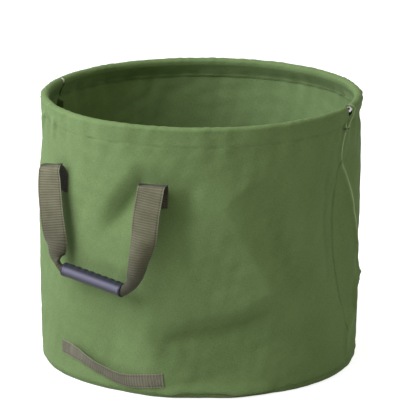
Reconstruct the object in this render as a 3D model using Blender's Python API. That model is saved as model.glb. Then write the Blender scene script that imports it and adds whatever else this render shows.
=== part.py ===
# Round canvas garden waste bag: two wall panels, base, rim hoop, two carry handles with tube grips
# and a base handle. The bag stands on z = 0 with its axis on Z. The front carry handle faces -Y,
# and angles turn from -Y towards +X.

import math

import bpy
import numpy as np
from mathutils import Matrix, Vector

# Bag
RIM_RADIUS = 0.280
BASE_RADIUS = 0.2745
BAG_HEIGHT = 0.4735
CANVAS = 0.0012
TAPE = 0.0008
GAP = 0.0003
PANEL_COLUMNS = 24
SHARP_ANGLE = math.radians(35.0)

# Side seams: the allowances turn inward and stand side by side, bound with tape
RIGHT_SEAM_ANGLE = math.radians(103.0)
SEAM_ALLOWANCE = 0.012
SEAM_FOLD = 0.0015
SEAM_SLIT = 0.00036
SEAM_TOP_DROP = 0.042
SEAM_FOOT_RISE = 0.003
BINDING_DEPTH = 0.009
BARTACK_WIDTH = 0.012
BARTACK_HEIGHT = 0.0022

# Hem and rim hoop
HOOP_DIAMETER = 0.011
HOOP_BORE = 0.005
HOOP_SIDES = 8
HEM_DEPTH = 0.035
HEM_STITCH_DROP = 0.032
HEM_STEPS = 6
RIGHT_HEM_GAP = 0.014
LEFT_HEM_GAP = 0.008
HOOP_END_RECESS = 0.004

# Base
WALL_LIFT = 0.007
BASE_CORNER = 0.006
CORNER_STEPS = 4
FLANGE_HEIGHT = 0.025
BASE_STITCH_RISE = 0.0025
BASE_BINDING_LOW = 0.010
BASE_BINDING_RISE = 0.008

# Thread
THREAD = 0.0009
THREAD_RISE = 0.0005

# Carry handles
WEBBING = 0.0016
STRAP_WIDTH = 0.050
HANDLE_SPREAD = math.radians(22.2)
HANDLE_TOP = 0.380
SEWN_DROP = 0.0455
ROLL_HEIGHT = 0.0195
CREST_REACH = 0.0065
CREST_FLAT = 0.0015
FRONT_ROLL = 0.010
ROLL_STEPS = 4
LEG_STEPS = 8
TURN_STEPS = 5
GRIP_DROP = 0.1782
HAND_GAP = 0.0137
STRAP_COLUMNS = 8
STITCH_MARGIN = 0.005
STITCH_HEIGHT = 0.020

# Grips
GRIP_LENGTH = 0.128
GRIP_RADIUS = 0.0118
GRIP_BORE = 0.0105
GRIP_COLLAR = 0.0006
COLLAR_LENGTH = 0.007
GRIP_TILT = math.radians(7.0)
FINGER_RIBS = 8
RIB_HEIGHT = 0.0013
RIB_STEPS = 4
RIB_SIDE = math.radians(60.0)
GRIP_SIDES = 16
TURN_RADIUS = 0.018
CURL_CLEARANCE = 0.0005
CURL_LENGTH = 0.060
CURL_LEAD = 0.015
MOUTH_RUN = 0.003

# Base handle
BASE_STRAP_WIDTH = 0.025
BASE_STRAP = 0.0014
BASE_STRAP_BOW = 0.0022
BASE_END_LENGTH = 0.028
BASE_END_STATIONS = 6
BASE_STRAP_STATIONS = 20
BASE_STRAP_SLIT = 0.00045
BASE_STRAP_ANGLES = [math.radians(a) for a in (-22.0, -11.0, 0.0, 10.0, 23.7)]
BASE_STRAP_HEIGHTS = [0.0555, 0.0505, 0.0365, 0.0255, 0.0325]

HOOP_Z = BAG_HEIGHT - CANVAS - GAP - HOOP_DIAMETER / 2
HOOP_RADIUS = RIM_RADIUS - CANVAS - GAP - HOOP_DIAMETER / 2
FLANGE_CLEARANCE = CANVAS + GAP
SEAM_OFFSET = SEAM_SLIT / 2
GRIP_OUTER = GRIP_RADIUS + max(RIB_HEIGHT, GRIP_COLLAR)
CURL_RADIUS = GRIP_BORE - CURL_CLEARANCE - WEBBING / 2


def clear_scene():
    for item in list(bpy.data.objects):
        bpy.data.objects.remove(item, do_unlink=True)


def make_material(name, colour, roughness, metallic=0.0):
    material = bpy.data.materials.new(name)
    material.use_nodes = True
    shader = material.node_tree.nodes["Principled BSDF"]
    shader.inputs["Base Color"].default_value = (*colour, 1.0)
    shader.inputs["Roughness"].default_value = roughness
    shader.inputs["Metallic"].default_value = metallic
    material.diffuse_color = (*colour, 1.0)
    return material


def outward(angle):
    return np.array([math.sin(angle), -math.cos(angle), 0.0])


def along(angle):
    return np.array([math.cos(angle), math.sin(angle), 0.0])


def place(angle, radius, side, height):
    """Point at a radius from the bag's axis, moved sideways along the wall, at a height."""
    return outward(angle) * radius + along(angle) * side + np.array([0.0, 0.0, height])


def wall_radius(height):
    """Outer face of the wall, which widens steadily from its lower edge to the rim."""
    share = (height - WALL_LIFT) / (HOOP_Z - WALL_LIFT)
    return BASE_RADIUS + (RIM_RADIUS - BASE_RADIUS) * share


def add_piece(name, points, faces, material, pivot=(0.0, 0.0, 0.0), parent=None, turn=0.0):
    """Mesh object with its origin on the pivot; turn spins the whole piece about the bag's axis."""
    spin = Matrix.Rotation(turn, 4, "Z")
    mesh = bpy.data.meshes.new(name)
    mesh.from_pydata([tuple(p) for p in points], [], faces)
    mesh.transform(Matrix.Translation(-Vector(pivot)))
    mesh.transform(spin)
    mesh.materials.append(material)
    mesh.shade_smooth()
    mesh.set_sharp_from_angle(angle=SHARP_ANGLE)
    piece = bpy.data.objects.new(name, mesh)
    bpy.context.collection.objects.link(piece)
    location = spin @ Vector(pivot)
    if parent is not None:
        piece.parent = parent
        location = location - parent.location
    piece.location = location
    return piece


def thicken(piece, thickness, offset):
    solidify = piece.modifiers.new("thickness", "SOLIDIFY")
    solidify.thickness = thickness
    solidify.offset = offset
    solidify.use_even_offset = True
    solidify.use_quality_normals = True


def add_pivot(name, position, turn):
    empty = bpy.data.objects.new(name, None)
    empty.empty_display_size = 0.02
    empty.location = Matrix.Rotation(turn, 4, "Z") @ Vector(position)
    bpy.context.collection.objects.link(empty)
    return empty


def quads(rows, columns, keep=lambda row, column: True):
    return [
        (r * columns + c, r * columns + c + 1, (r + 1) * columns + c + 1, (r + 1) * columns + c)
        for r in range(rows - 1)
        for c in range(columns - 1)
        if keep(r, c)
    ]


def drop_loose(points, faces):
    """Keep only the points that a face uses."""
    used = sorted({index for face in faces for index in face})
    place_of = {old: new for new, old in enumerate(used)}
    return [points[i] for i in used], [tuple(place_of[i] for i in face) for face in faces]


def ring_angles():
    """Angles of every wall column round the bag, so that round pieces share the wall's flats."""
    angles = []
    for start, end, first_gap, last_gap in panel_spans():
        angles += list(np.linspace(start + first_gap, end - last_gap, PANEL_COLUMNS + 1))
    return angles


def panel_spans():
    """Start angle, end angle and half hem gaps, as angles, of the front and the back panel."""
    right = RIGHT_SEAM_ANGLE
    left = RIGHT_SEAM_ANGLE - math.pi
    right_gap = RIGHT_HEM_GAP / 2 / RIM_RADIUS
    left_gap = LEFT_HEM_GAP / 2 / RIM_RADIUS
    return [(left, right, left_gap, right_gap), (right, right + math.pi, right_gap, left_gap)]


def closed_ring(name, profile, material, angles=None):
    """A closed profile of (radius, height) corners carried once round the bag, corners counter-clockwise."""
    angles = ring_angles() if angles is None else angles
    count = len(profile)
    points = [place(a, r, 0.0, z) for a in angles for r, z in profile]
    faces = []
    for i in range(len(angles)):
        j = (i + 1) % len(angles)
        for k in range(count):
            n = (k + 1) % count
            faces.append((i * count + k, j * count + k, j * count + n, i * count + n))
    return add_piece(name, points, faces, material)


def seam_foot():
    return FLANGE_HEIGHT + BASE_BINDING_RISE + SEAM_FOOT_RISE


def seam_head():
    return BAG_HEIGHT - SEAM_TOP_DROP


def hem_rows():
    """Outer face of the hem from the hoop's height over the top and down inside, as (radius, height)."""
    reach = HOOP_DIAMETER / 2 + GAP + CANVAS
    steps = [math.pi * k / HEM_STEPS for k in range(HEM_STEPS + 1)]
    rows = [(HOOP_RADIUS + reach * math.cos(a), HOOP_Z + reach * math.sin(a)) for a in steps]
    rows.append((HOOP_RADIUS - reach, HOOP_Z - reach / 2))
    flat_z = BAG_HEIGHT - HEM_STITCH_DROP
    inset = CANVAS + GAP + CANVAS
    rows.append((wall_radius(flat_z) - inset, flat_z))
    end_z = BAG_HEIGHT - HEM_DEPTH
    rows.append((wall_radius(end_z) - inset, end_z))
    return rows


def wall_panel(name, span, material):
    """Half of the wall with its hem and both seam allowances, as one folded sheet."""
    start, end, first_gap, last_gap = span
    notch = HOOP_Z - HOOP_DIAMETER / 2 - CANVAS - GAP
    plain = [WALL_LIFT, seam_foot(), (seam_foot() + seam_head()) / 2, seam_head(), notch]
    rows = [(wall_radius(z), z) for z in plain] + hem_rows()
    foot_row, head_row, notch_row = 1, 3, 4
    inner = list(np.linspace(start + first_gap, end - last_gap, PANEL_COLUMNS + 1))
    points = []
    for number, (radius, z) in enumerate(rows):
        fold = SEAM_FOLD if foot_row <= number <= head_row else 0.0
        edge = SEAM_OFFSET + fold
        line = [
            place(start, radius - SEAM_ALLOWANCE, SEAM_OFFSET, z),
            place(start, radius - SEAM_FOLD, SEAM_OFFSET, z),
            place(start, radius, edge, z),
        ]
        line += [place(a, radius, 0.0, z) for a in inner]
        line += [
            place(end, radius, -edge, z),
            place(end, radius - SEAM_FOLD, -SEAM_OFFSET, z),
            place(end, radius - SEAM_ALLOWANCE, -SEAM_OFFSET, z),
        ]
        points += line
    columns = len(inner) + 6

    def keep(row, column):
        from_side = min(column, columns - 2 - column)
        if from_side < 2:
            return foot_row <= row < head_row
        if from_side == 2:
            return row < notch_row
        return True

    points, faces = drop_loose(points, quads(len(rows), columns, keep))
    panel = add_piece(name, points, faces, material)
    thicken(panel, CANVAS, -1.0)
    return panel


def seam_binding(name, angle, material):
    """Tape folded over the two raw edges of a side seam, open towards the wall."""
    inside = SEAM_OFFSET + CANVAS + GAP
    outside = inside + TAPE

    def section(z):
        tip = wall_radius(z) - SEAM_ALLOWANCE - GAP
        legs = tip + BINDING_DEPTH
        return [
            place(angle, legs, inside, z),
            place(angle, legs, outside, z),
            place(angle, tip - TAPE, outside, z),
            place(angle, tip - TAPE, -outside, z),
            place(angle, legs, -outside, z),
            place(angle, legs, -inside, z),
            place(angle, tip, -inside, z),
            place(angle, tip, inside, z),
        ]

    low = section(seam_foot())
    high = section(seam_head())
    faces = [(i, (i + 1) % 8, 8 + (i + 1) % 8, 8 + i) for i in range(8)]
    caps = [(0, 1, 2, 7), (7, 2, 3, 6), (6, 3, 4, 5)]
    faces += [tuple(reversed(c)) for c in caps]
    faces += [tuple(8 + i for i in c) for c in caps]
    return add_piece(name, low + high, faces, material)


def bartack(name, angle, material):
    """Dense bar of thread across a side seam, just under the hem."""
    low = seam_head() + (BAG_HEIGHT - HEM_DEPTH - seam_head()) / 2 - BARTACK_HEIGHT / 2
    inner = wall_radius(low + BARTACK_HEIGHT) + GAP
    outer = inner + THREAD_RISE
    half = BARTACK_WIDTH / 2
    corners = []
    for z in (low, low + BARTACK_HEIGHT):
        for radius, side in ((inner, -half), (inner, half), (outer, half), (outer, -half)):
            corners.append(place(angle, radius, side, z))
    faces = [(0, 1, 2, 3), (7, 6, 5, 4), (0, 4, 5, 1), (1, 5, 6, 2), (2, 6, 7, 3), (3, 7, 4, 0)]
    return add_piece(name, corners, faces, material)


def rim_hoop(material):
    """Hollow tube bent to a ring, its two ends a little apart at the right side seam."""
    front = panel_spans()[0]
    columns = ring_angles()
    recess = HOOP_END_RECESS / HOOP_RADIUS
    last = front[1] - front[3] - recess
    angles = columns[PANEL_COLUMNS + 1:]
    angles += [a for a in columns[:PANEL_COLUMNS + 1] if a < last] + [last]
    half_step = (columns[1] - columns[0]) / 2
    flat_middle = columns[PANEL_COLUMNS] - half_step
    centres = [HOOP_RADIUS] * (len(angles) - 1)
    centres.append(HOOP_RADIUS * math.cos(half_step) / math.cos(last - flat_middle))
    points = []
    for radius in (HOOP_DIAMETER / 2, HOOP_BORE / 2):
        for a, centre in zip(angles, centres):
            for k in range(HOOP_SIDES):
                turn = 2 * math.pi * k / HOOP_SIDES
                reach, rise = radius * math.cos(turn), radius * math.sin(turn)
                points.append(place(a, centre + reach, 0.0, HOOP_Z + rise))
    inner = len(angles) * HOOP_SIDES
    faces = []
    for i in range(len(angles) - 1):
        for k in range(HOOP_SIDES):
            n = (k + 1) % HOOP_SIDES
            a, b = i * HOOP_SIDES, (i + 1) * HOOP_SIDES
            faces.append((a + k, b + k, b + n, a + n))
            faces.append((inner + a + n, inner + b + n, inner + b + k, inner + a + k))
    end = (len(angles) - 1) * HOOP_SIDES
    for k in range(HOOP_SIDES):
        n = (k + 1) % HOOP_SIDES
        faces.append((k, n, inner + n, inner + k))
        faces.append((inner + end + k, inner + end + n, end + n, end + k))
    return add_piece("rim_hoop", points, faces, material)


def base_panel(material):
    """Shallow dish: a flat disc whose rounded corner turns up inside the wall's lower edge."""
    def inner_wall(z):
        return wall_radius(z) - FLANGE_CLEARANCE

    floor_radius = inner_wall(BASE_CORNER) - BASE_CORNER
    bends = [0.5 * math.pi * k / CORNER_STEPS for k in range(CORNER_STEPS + 1)]
    outside = [(floor_radius + BASE_CORNER * math.sin(b), BASE_CORNER * (1 - math.cos(b))) for b in bends]
    outside.append((inner_wall(FLANGE_HEIGHT), FLANGE_HEIGHT))
    bend = BASE_CORNER - CANVAS
    inside = [(floor_radius + bend * math.sin(b), BASE_CORNER - bend * math.cos(b)) for b in bends]
    inside.append((inner_wall(FLANGE_HEIGHT) - CANVAS, FLANGE_HEIGHT))
    profile = outside + list(reversed(inside))
    angles = ring_angles()
    count = len(profile)
    points = [place(a, r, 0.0, z) for a in angles for r, z in profile]
    under = len(points)
    points += [np.array([0.0, 0.0, 0.0]), np.array([0.0, 0.0, CANVAS])]
    faces = []
    for i in range(len(angles)):
        j = (i + 1) % len(angles)
        for k in range(count - 1):
            faces.append((i * count + k, j * count + k, j * count + k + 1, i * count + k + 1))
        faces.append((j * count, i * count, under))
        faces.append((i * count + count - 1, j * count + count - 1, under + 1))
    return add_piece("base_panel", points, faces, material)


def base_binding(material):
    """Tape round the inside that covers the raw top edge of the base's turned-up side."""
    def on_flange(z):
        return wall_radius(z) - FLANGE_CLEARANCE - CANVAS - GAP

    def on_wall(z):
        return wall_radius(z) - FLANGE_CLEARANCE

    low, step = BASE_BINDING_LOW, FLANGE_HEIGHT + GAP
    top = FLANGE_HEIGHT + BASE_BINDING_RISE
    rise = step + CANVAS + GAP
    profile = [
        (on_flange(low) - TAPE, low),
        (on_flange(low), low),
        (on_flange(step), step),
        (on_wall(step), step),
        (on_wall(top), top),
        (on_wall(top) - TAPE, top),
        (on_wall(rise) - TAPE, rise),
        (on_flange(rise) - TAPE, rise),
    ]
    return closed_ring("base_seam_binding", profile, material)


def thread_ring(name, height, material):
    """Stitch line laid round the outside of the wall."""
    low, high = height - THREAD / 2, height + THREAD / 2
    inner_low, inner_high = wall_radius(low) + GAP, wall_radius(high) + GAP
    profile = [
        (inner_low, low),
        (inner_low + THREAD_RISE, low),
        (inner_high + THREAD_RISE, high),
        (inner_high, high),
    ]
    return closed_ring(name, profile, material)


def box_stitch(name, centre, wide, tall, face_out, size, material, parent=None, turn=0.0):
    """Flat box of thread with a cross in it: outer corners, then the corners of its four open triangles."""
    half_w, half_t = size[0] / 2, size[1] / 2
    bar = THREAD
    in_w, in_t = half_w - bar, half_t - bar
    skew_w = bar * math.hypot(half_w, half_t) / half_t / 2
    skew_t = bar * math.hypot(half_w, half_t) / half_w / 2
    flat = [(-half_w, -half_t), (half_w, -half_t), (half_w, half_t), (-half_w, half_t)]
    flat += [(-in_w + skew_w, -in_t), (in_w - skew_w, -in_t), (0.0, -skew_t)]
    flat += [(in_w, -in_t + skew_t), (in_w, in_t - skew_t), (skew_w, 0.0)]
    flat += [(in_w - skew_w, in_t), (-in_w + skew_w, in_t), (0.0, skew_t)]
    flat += [(-in_w, in_t - skew_t), (-in_w, -in_t + skew_t), (-skew_w, 0.0)]
    faces = [(6, 9, 12, 15)]
    for k in range(4):
        hole = 4 + 3 * k
        following = 4 + 3 * ((k + 1) % 4)
        faces.append((k, (k + 1) % 4, hole + 1, hole))
        faces.append(((k + 1) % 4, following, hole + 1))
        faces.append((hole + 2, hole + 1, following, following + 2))
    points = [centre + wide * u + tall * v + face_out * GAP for u, v in flat]
    piece = add_piece(name, points, faces, material, turn=turn, parent=parent)
    thicken(piece, THREAD_RISE, 1.0)
    return piece


def smooth_step(share):
    share = np.clip(share, 0.0, 1.0)
    return share * share * (3 - 2 * share)


def tab_radius(height):
    return wall_radius(height) + GAP + WEBBING / 2


class CarryHandle:
    """Places shared by one carry handle's sewn ends, strap and grip, before it is turned to its side."""

    roll_foot = HANDLE_TOP - ROLL_HEIGHT
    tab_foot = HANDLE_TOP - SEWN_DROP
    grip_z = HANDLE_TOP - GRIP_DROP
    grip_y = -(wall_radius(grip_z) + HAND_GAP + GRIP_OUTER)
    half = STRAP_WIDTH / 2
    radius = tab_radius(roll_foot)
    crest_x = radius * math.sin(HANDLE_SPREAD)
    crest_y = -(radius * math.cos(HANDLE_SPREAD) + half * math.sin(HANDLE_SPREAD)) - CREST_REACH
    crest_z = HANDLE_TOP - WEBBING / 2
    hinge = (0.0, crest_y - GAP / 2, HANDLE_TOP + GAP)
    grip = (0.0, grip_y, grip_z)


def sewn_end(name, side, turn, material):
    """End of the strap: flat on the wall where it is sewn, then rolled out and up to the crest."""
    handle = CarryHandle
    angle = side * HANDLE_SPREAD
    across = np.linspace(-handle.half, handle.half, 3)
    points = []
    for z in (handle.tab_foot, handle.roll_foot):
        points += [place(angle, tab_radius(z), s, z) for s in across]
    steps = 5
    for k in range(1, steps + 1):
        bend = 0.5 * math.pi * k / steps
        for s in across:
            foot = place(angle, tab_radius(handle.roll_foot), s, handle.roll_foot)
            crest = np.array([side * handle.crest_x + s, handle.crest_y + CREST_FLAT, handle.crest_z])
            rolled = foot + (crest - foot) * (1 - math.cos(bend))
            rolled[2] = foot[2] + (crest[2] - foot[2]) * math.sin(bend)
            points.append(rolled)
    points += [np.array([side * handle.crest_x + s, handle.crest_y, handle.crest_z]) for s in across]
    piece = add_piece(name, points, quads(steps + 3, 3), material, turn=turn)
    thicken(piece, WEBBING, 0.0)
    return piece


def strap_half(side):
    """Middle line from a crest to the middle of the grip, as points, normals and curl shares."""
    handle = CarryHandle
    start = np.array([side * handle.crest_x, handle.crest_y - GAP, handle.crest_z])
    axis = side * np.array([math.cos(GRIP_TILT), 0.0, -math.sin(GRIP_TILT)])
    spine_y = handle.grip_y - CURL_RADIUS
    middle = np.array([0.0, spine_y, handle.grip_z])
    mouth = middle + axis * (GRIP_LENGTH / 2 + MOUTH_RUN)
    points, normals = [start], [np.array([0.0, 0.0, 1.0])]
    level = start - np.array([0.0, CREST_FLAT, 0.0])
    for k in range(ROLL_STEPS + 1):
        bend = 0.5 * math.pi * k / ROLL_STEPS
        points.append(level + np.array([0.0, -math.sin(bend), math.cos(bend) - 1.0]) * FRONT_ROLL)
        normals.append(np.array([0.0, -math.sin(bend), math.cos(bend)]))
    lead = points[-1]
    front = np.array([0.0, -1.0, 0.0])
    up = np.cross(front, axis) * side
    corner = mouth + axis * TURN_RADIUS
    turn_top = corner + up * TURN_RADIUS
    for k in range(1, LEG_STEPS + 1):
        share = k / LEG_STEPS
        point = lead + (turn_top - lead) * share
        point[1] = lead[1] + (turn_top[1] - lead[1]) * smooth_step(share)
        points.append(point)
        normals.append(front)
    for k in range(1, TURN_STEPS + 1):
        bend = 0.5 * math.pi * k / TURN_STEPS
        inward = axis * (1 - math.cos(bend))
        upward = up * (1 - math.sin(bend))
        points.append(corner + (upward - inward) * TURN_RADIUS)
        normals.append(front)
    for share in (0.75, 0.4, 0.0):
        points.append(middle + axis * GRIP_LENGTH / 2 * share)
        normals.append(front)
    points = np.array(points)
    runs = np.concatenate([[0.0], np.cumsum(np.linalg.norm(np.diff(points, axis=0), axis=1))])
    mouth_run = runs[-4]
    curl = smooth_step((runs - (mouth_run - CURL_LEAD - CURL_LENGTH)) / CURL_LENGTH)
    return points, np.array(normals), curl


def handle_strap(name, turn, parent, material):
    """Webbing from crest to crest: flat legs whose edges curl back until the strap lines the grip's bore."""
    left, left_normals, left_curl = strap_half(-1)
    right, right_normals, right_curl = strap_half(1)
    path = np.vstack([left, right[-2::-1]])
    normals = np.vstack([left_normals, right_normals[-2::-1]])
    curl = np.concatenate([left_curl, right_curl[-2::-1]])
    tangents = np.gradient(path, axis=0)
    tangents /= np.linalg.norm(tangents, axis=1)[:, None]
    wides = np.cross(normals, tangents)
    wides /= np.linalg.norm(wides, axis=1)[:, None]
    wides[0] = wides[-1] = np.array([0.0, 0.0, 0.0])
    wides[0] = np.cross(normals[0], np.array([0.0, -1.0, 0.0]))
    wides[-1] = np.cross(normals[-1], np.array([0.0, 1.0, 0.0]))
    outs = np.cross(tangents, wides)
    across = np.linspace(-STRAP_WIDTH / 2, STRAP_WIDTH / 2, STRAP_COLUMNS + 1)
    points = []
    for centre, wide, out, share in zip(path, wides, outs, curl):
        bend = max(share, 0.001) / CURL_RADIUS
        for s in across:
            points.append(centre + wide * math.sin(s * bend) / bend - out * (1 - math.cos(s * bend)) / bend)
    faces = quads(len(path), STRAP_COLUMNS + 1)
    piece = add_piece(name, points, faces, material, CarryHandle.hinge, parent, turn)
    thicken(piece, WEBBING, 0.0)
    return piece


def grip_tube(name, turn, parent, material):
    """Hollow grip with a collar at each end and finger ribs on its upper back side."""
    rib_span = GRIP_LENGTH - 2 * COLLAR_LENGTH
    inner = list(np.linspace(-rib_span / 2, rib_span / 2, FINGER_RIBS * RIB_STEPS + 1))
    ends = GRIP_LENGTH / 2
    stations = [-ends, -rib_span / 2 - GRIP_COLLAR] + inner + [rib_span / 2 + GRIP_COLLAR, ends]
    points = []
    for x in stations:
        wave = 0.5 - 0.5 * math.cos(2 * math.pi * FINGER_RIBS * (x / rib_span + 0.5))
        ribbed = abs(x) < rib_span / 2
        for k in range(GRIP_SIDES):
            a = 2 * math.pi * k / GRIP_SIDES
            radius = GRIP_RADIUS + (0.0 if abs(x) <= rib_span / 2 + 1e-9 else GRIP_COLLAR)
            if ribbed:
                radius += RIB_HEIGHT * wave * max(0.0, math.cos(a - RIB_SIDE)) ** 0.5
            points.append((x, radius * math.cos(a), radius * math.sin(a)))
    bore = len(points)
    for x in (-ends, ends):
        for k in range(GRIP_SIDES):
            a = 2 * math.pi * k / GRIP_SIDES
            points.append((x, GRIP_BORE * math.cos(a), GRIP_BORE * math.sin(a)))
    faces = []
    last = (len(stations) - 1) * GRIP_SIDES
    for k in range(GRIP_SIDES):
        n = (k + 1) % GRIP_SIDES
        for i in range(len(stations) - 1):
            a, b = i * GRIP_SIDES, (i + 1) * GRIP_SIDES
            faces.append((a + k, b + k, b + n, a + n))
        faces.append((bore + n, bore + GRIP_SIDES + n, bore + GRIP_SIDES + k, bore + k))
        faces.append((k, n, bore + n, bore + k))
        faces.append((last + n, last + k, bore + GRIP_SIDES + k, bore + GRIP_SIDES + n))
    faces = [tuple(reversed(face)) for face in faces]
    tilt = Matrix.Translation(CarryHandle.grip) @ Matrix.Rotation(GRIP_TILT, 4, "Y")
    placed = [tuple(tilt @ Vector(p)) for p in points]
    return add_piece(name, placed, faces, material, CarryHandle.grip, parent, turn)


def carry_handle(label, turn, materials):
    handle = CarryHandle
    for side, side_name in ((-1, "left"), (1, "right")):
        sewn_end(f"{label}_handle_{side_name}_end", side, turn, materials["webbing"])
        angle = side * HANDLE_SPREAD
        foot = handle.tab_foot + STITCH_MARGIN
        top = foot + STITCH_HEIGHT
        low, high = (place(angle, tab_radius(z), 0.0, z) for z in (foot, top))
        up = (high - low) / np.linalg.norm(high - low)
        out = np.cross(along(angle), up)
        seat = (low + high) / 2 + out * (WEBBING / 2)
        size = (STRAP_WIDTH - 2 * STITCH_MARGIN, STITCH_HEIGHT)
        name = f"{label}_handle_{side_name}_stitch"
        box_stitch(name, seat, along(angle), up, out, size, materials["dark_thread"], turn=turn)
    pivot = add_pivot(f"{label}_handle_hinge", handle.hinge, turn)
    handle_strap(f"{label}_handle_webbing", turn, pivot, materials["webbing"])
    grip_tube(f"{label}_grip", turn, pivot, materials["grip"])


def base_path(share):
    """Angle and height of the base strap's middle line: a cubic through its five set-out places."""
    knots = np.linspace(0.0, 1.0, len(BASE_STRAP_ANGLES))
    spot = min(int(share * (len(knots) - 1)), len(knots) - 2)
    part = (share - knots[spot]) / (knots[1] - knots[0])
    values = []
    for data in (BASE_STRAP_ANGLES, BASE_STRAP_HEIGHTS):
        before = data[spot - 1] if spot > 0 else 2 * data[0] - data[1]
        after = data[spot + 2] if spot + 2 < len(data) else 2 * data[-1] - data[-2]
        p, q = data[spot], data[spot + 1]
        values.append(
            p
            + 0.5 * part * (q - before + part * (2 * before - 5 * p + 4 * q - after
            + part * (3 * (p - q) + after - before)))
        )
    return values


def base_point(share, side):
    """Point of the base strap's middle sheet: side runs across the webbing, up is positive."""
    near = 0.002
    angle, height = base_path(share)
    low_angle, low_height = base_path(max(share - near, 0.0))
    high_angle, high_height = base_path(min(share + near, 1.0))
    run = (high_angle - low_angle) * wall_radius(height)
    rise = high_height - low_height
    length = math.hypot(run, rise)
    spot_angle = angle - side * rise / length / wall_radius(height)
    spot_height = height + side * run / length
    end_share = BASE_END_LENGTH / base_length()
    lift = math.sin(math.pi * min(max((share - end_share) / (1 - 2 * end_share), 0.0), 1.0))
    stand_off = GAP + BASE_STRAP / 2 + BASE_STRAP_BOW * lift
    return place(spot_angle, wall_radius(spot_height) + stand_off, 0.0, spot_height)


def base_length():
    shares = np.linspace(0.0, 1.0, 41)
    places = np.array([base_path(s) for s in shares])
    runs = np.diff(places[:, 0]) * BASE_RADIUS
    return float(np.sum(np.hypot(runs, np.diff(places[:, 1]))))


def base_strip(name, first, last, stations, material, parent=None, pivot=(0.0, 0.0, 0.0)):
    """Stretch of the base strap between two shares of its length."""
    half = BASE_STRAP_WIDTH / 2
    points = [base_point(t, s) for t in np.linspace(first, last, stations) for s in (half, 0.0, -half)]
    piece = add_piece(name, points, quads(stations, 3), material, pivot, parent)
    thicken(piece, BASE_STRAP, 0.0)
    return piece


def base_handle(materials):
    """Base strap in three stretches: two sewn ends, and the free middle that pulls off the wall."""
    end = BASE_END_LENGTH / base_length()
    slit = BASE_STRAP_SLIT / base_length()
    base_strip("base_handle_left_end", 0.0, end, BASE_END_STATIONS, materials["base_webbing"])
    base_strip("base_handle_right_end", 1.0 - end, 1.0, BASE_END_STATIONS, materials["base_webbing"])
    middle = base_point(0.5, 0.0)
    pivot = add_pivot("base_handle_slide", middle, 0.0)
    free = (end + slit, 1.0 - end - slit)
    base_strip("base_handle_webbing", *free, BASE_STRAP_STATIONS, materials["base_webbing"], pivot, middle)
    for name, share in (("left", end / 2), ("right", 1.0 - end / 2)):
        centre = base_point(share, 0.0)
        wide = base_point(share + 0.01, 0.0) - base_point(share - 0.01, 0.0)
        wide /= np.linalg.norm(wide)
        tall = base_point(share, 0.005) - base_point(share, -0.005)
        tall /= np.linalg.norm(tall)
        out = np.cross(wide, tall)
        box = (BASE_END_LENGTH - 2 * STITCH_MARGIN, BASE_STRAP_WIDTH - 2 * STITCH_MARGIN)
        seat = centre + out * (BASE_STRAP / 2)
        box_stitch(f"base_handle_{name}_stitch", seat, wide, tall, out, box, materials["dark_thread"])


def build():
    clear_scene()
    materials = {
        "canvas": make_material("green_canvas", (0.155, 0.220, 0.080), 0.85),
        "tape": make_material("binding_tape", (0.105, 0.150, 0.060), 0.85),
        "hoop": make_material("white_tube", (0.80, 0.80, 0.74), 0.45),
        "thread": make_material("green_thread", (0.120, 0.175, 0.065), 0.70),
        "dark_thread": make_material("dark_thread", (0.060, 0.062, 0.038), 0.70),
        "webbing": make_material("grey_green_webbing", (0.160, 0.150, 0.090), 0.80),
        "base_webbing": make_material("brown_green_webbing", (0.165, 0.160, 0.105), 0.80),
        "grip": make_material("black_grip_plastic", (0.045, 0.045, 0.055), 0.45),
    }
    front, back = panel_spans()
    wall_panel("front_wall_panel", front, materials["canvas"])
    wall_panel("back_wall_panel", back, materials["canvas"])
    left_seam = RIGHT_SEAM_ANGLE - math.pi
    for name, angle in (("right", RIGHT_SEAM_ANGLE), ("left", left_seam)):
        seam_binding(f"{name}_seam_binding", angle, materials["tape"])
        bartack(f"{name}_seam_bartack", angle, materials["dark_thread"])
    base_panel(materials["canvas"])
    base_binding(materials["tape"])
    rim_hoop(materials["hoop"])
    thread_ring("hem_stitching", BAG_HEIGHT - HEM_STITCH_DROP, materials["thread"])
    thread_ring("base_stitching", WALL_LIFT + BASE_STITCH_RISE, materials["thread"])
    carry_handle("front", 0.0, materials)
    carry_handle("back", math.pi, materials)
    base_handle(materials)


build()
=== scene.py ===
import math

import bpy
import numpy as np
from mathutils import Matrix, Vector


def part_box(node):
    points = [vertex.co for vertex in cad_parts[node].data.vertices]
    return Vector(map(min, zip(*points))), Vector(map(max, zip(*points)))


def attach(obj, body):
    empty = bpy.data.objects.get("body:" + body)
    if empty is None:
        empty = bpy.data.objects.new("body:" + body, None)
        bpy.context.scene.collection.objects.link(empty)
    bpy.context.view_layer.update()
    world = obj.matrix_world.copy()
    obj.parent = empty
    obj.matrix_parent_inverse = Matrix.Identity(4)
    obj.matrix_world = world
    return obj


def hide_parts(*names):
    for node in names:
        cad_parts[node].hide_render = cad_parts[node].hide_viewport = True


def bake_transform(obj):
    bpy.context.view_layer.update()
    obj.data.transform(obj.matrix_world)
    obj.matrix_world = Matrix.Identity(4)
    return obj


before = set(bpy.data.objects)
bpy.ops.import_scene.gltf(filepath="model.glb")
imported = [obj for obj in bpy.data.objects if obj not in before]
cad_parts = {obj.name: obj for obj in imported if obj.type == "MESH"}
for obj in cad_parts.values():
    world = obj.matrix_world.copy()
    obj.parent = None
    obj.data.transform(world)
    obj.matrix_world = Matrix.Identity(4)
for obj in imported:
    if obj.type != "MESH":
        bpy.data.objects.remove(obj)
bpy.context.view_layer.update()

# Looks of the round canvas garden waste bag: sewn wall panels that sag and crease, the rolled hem,
# base dish, hoop, tapes, stitches, ribbed carry straps on ribbed tube grips, and the low base handle.
# Angles turn round the bag from -Y towards +X. Lengths are metres.

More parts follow.
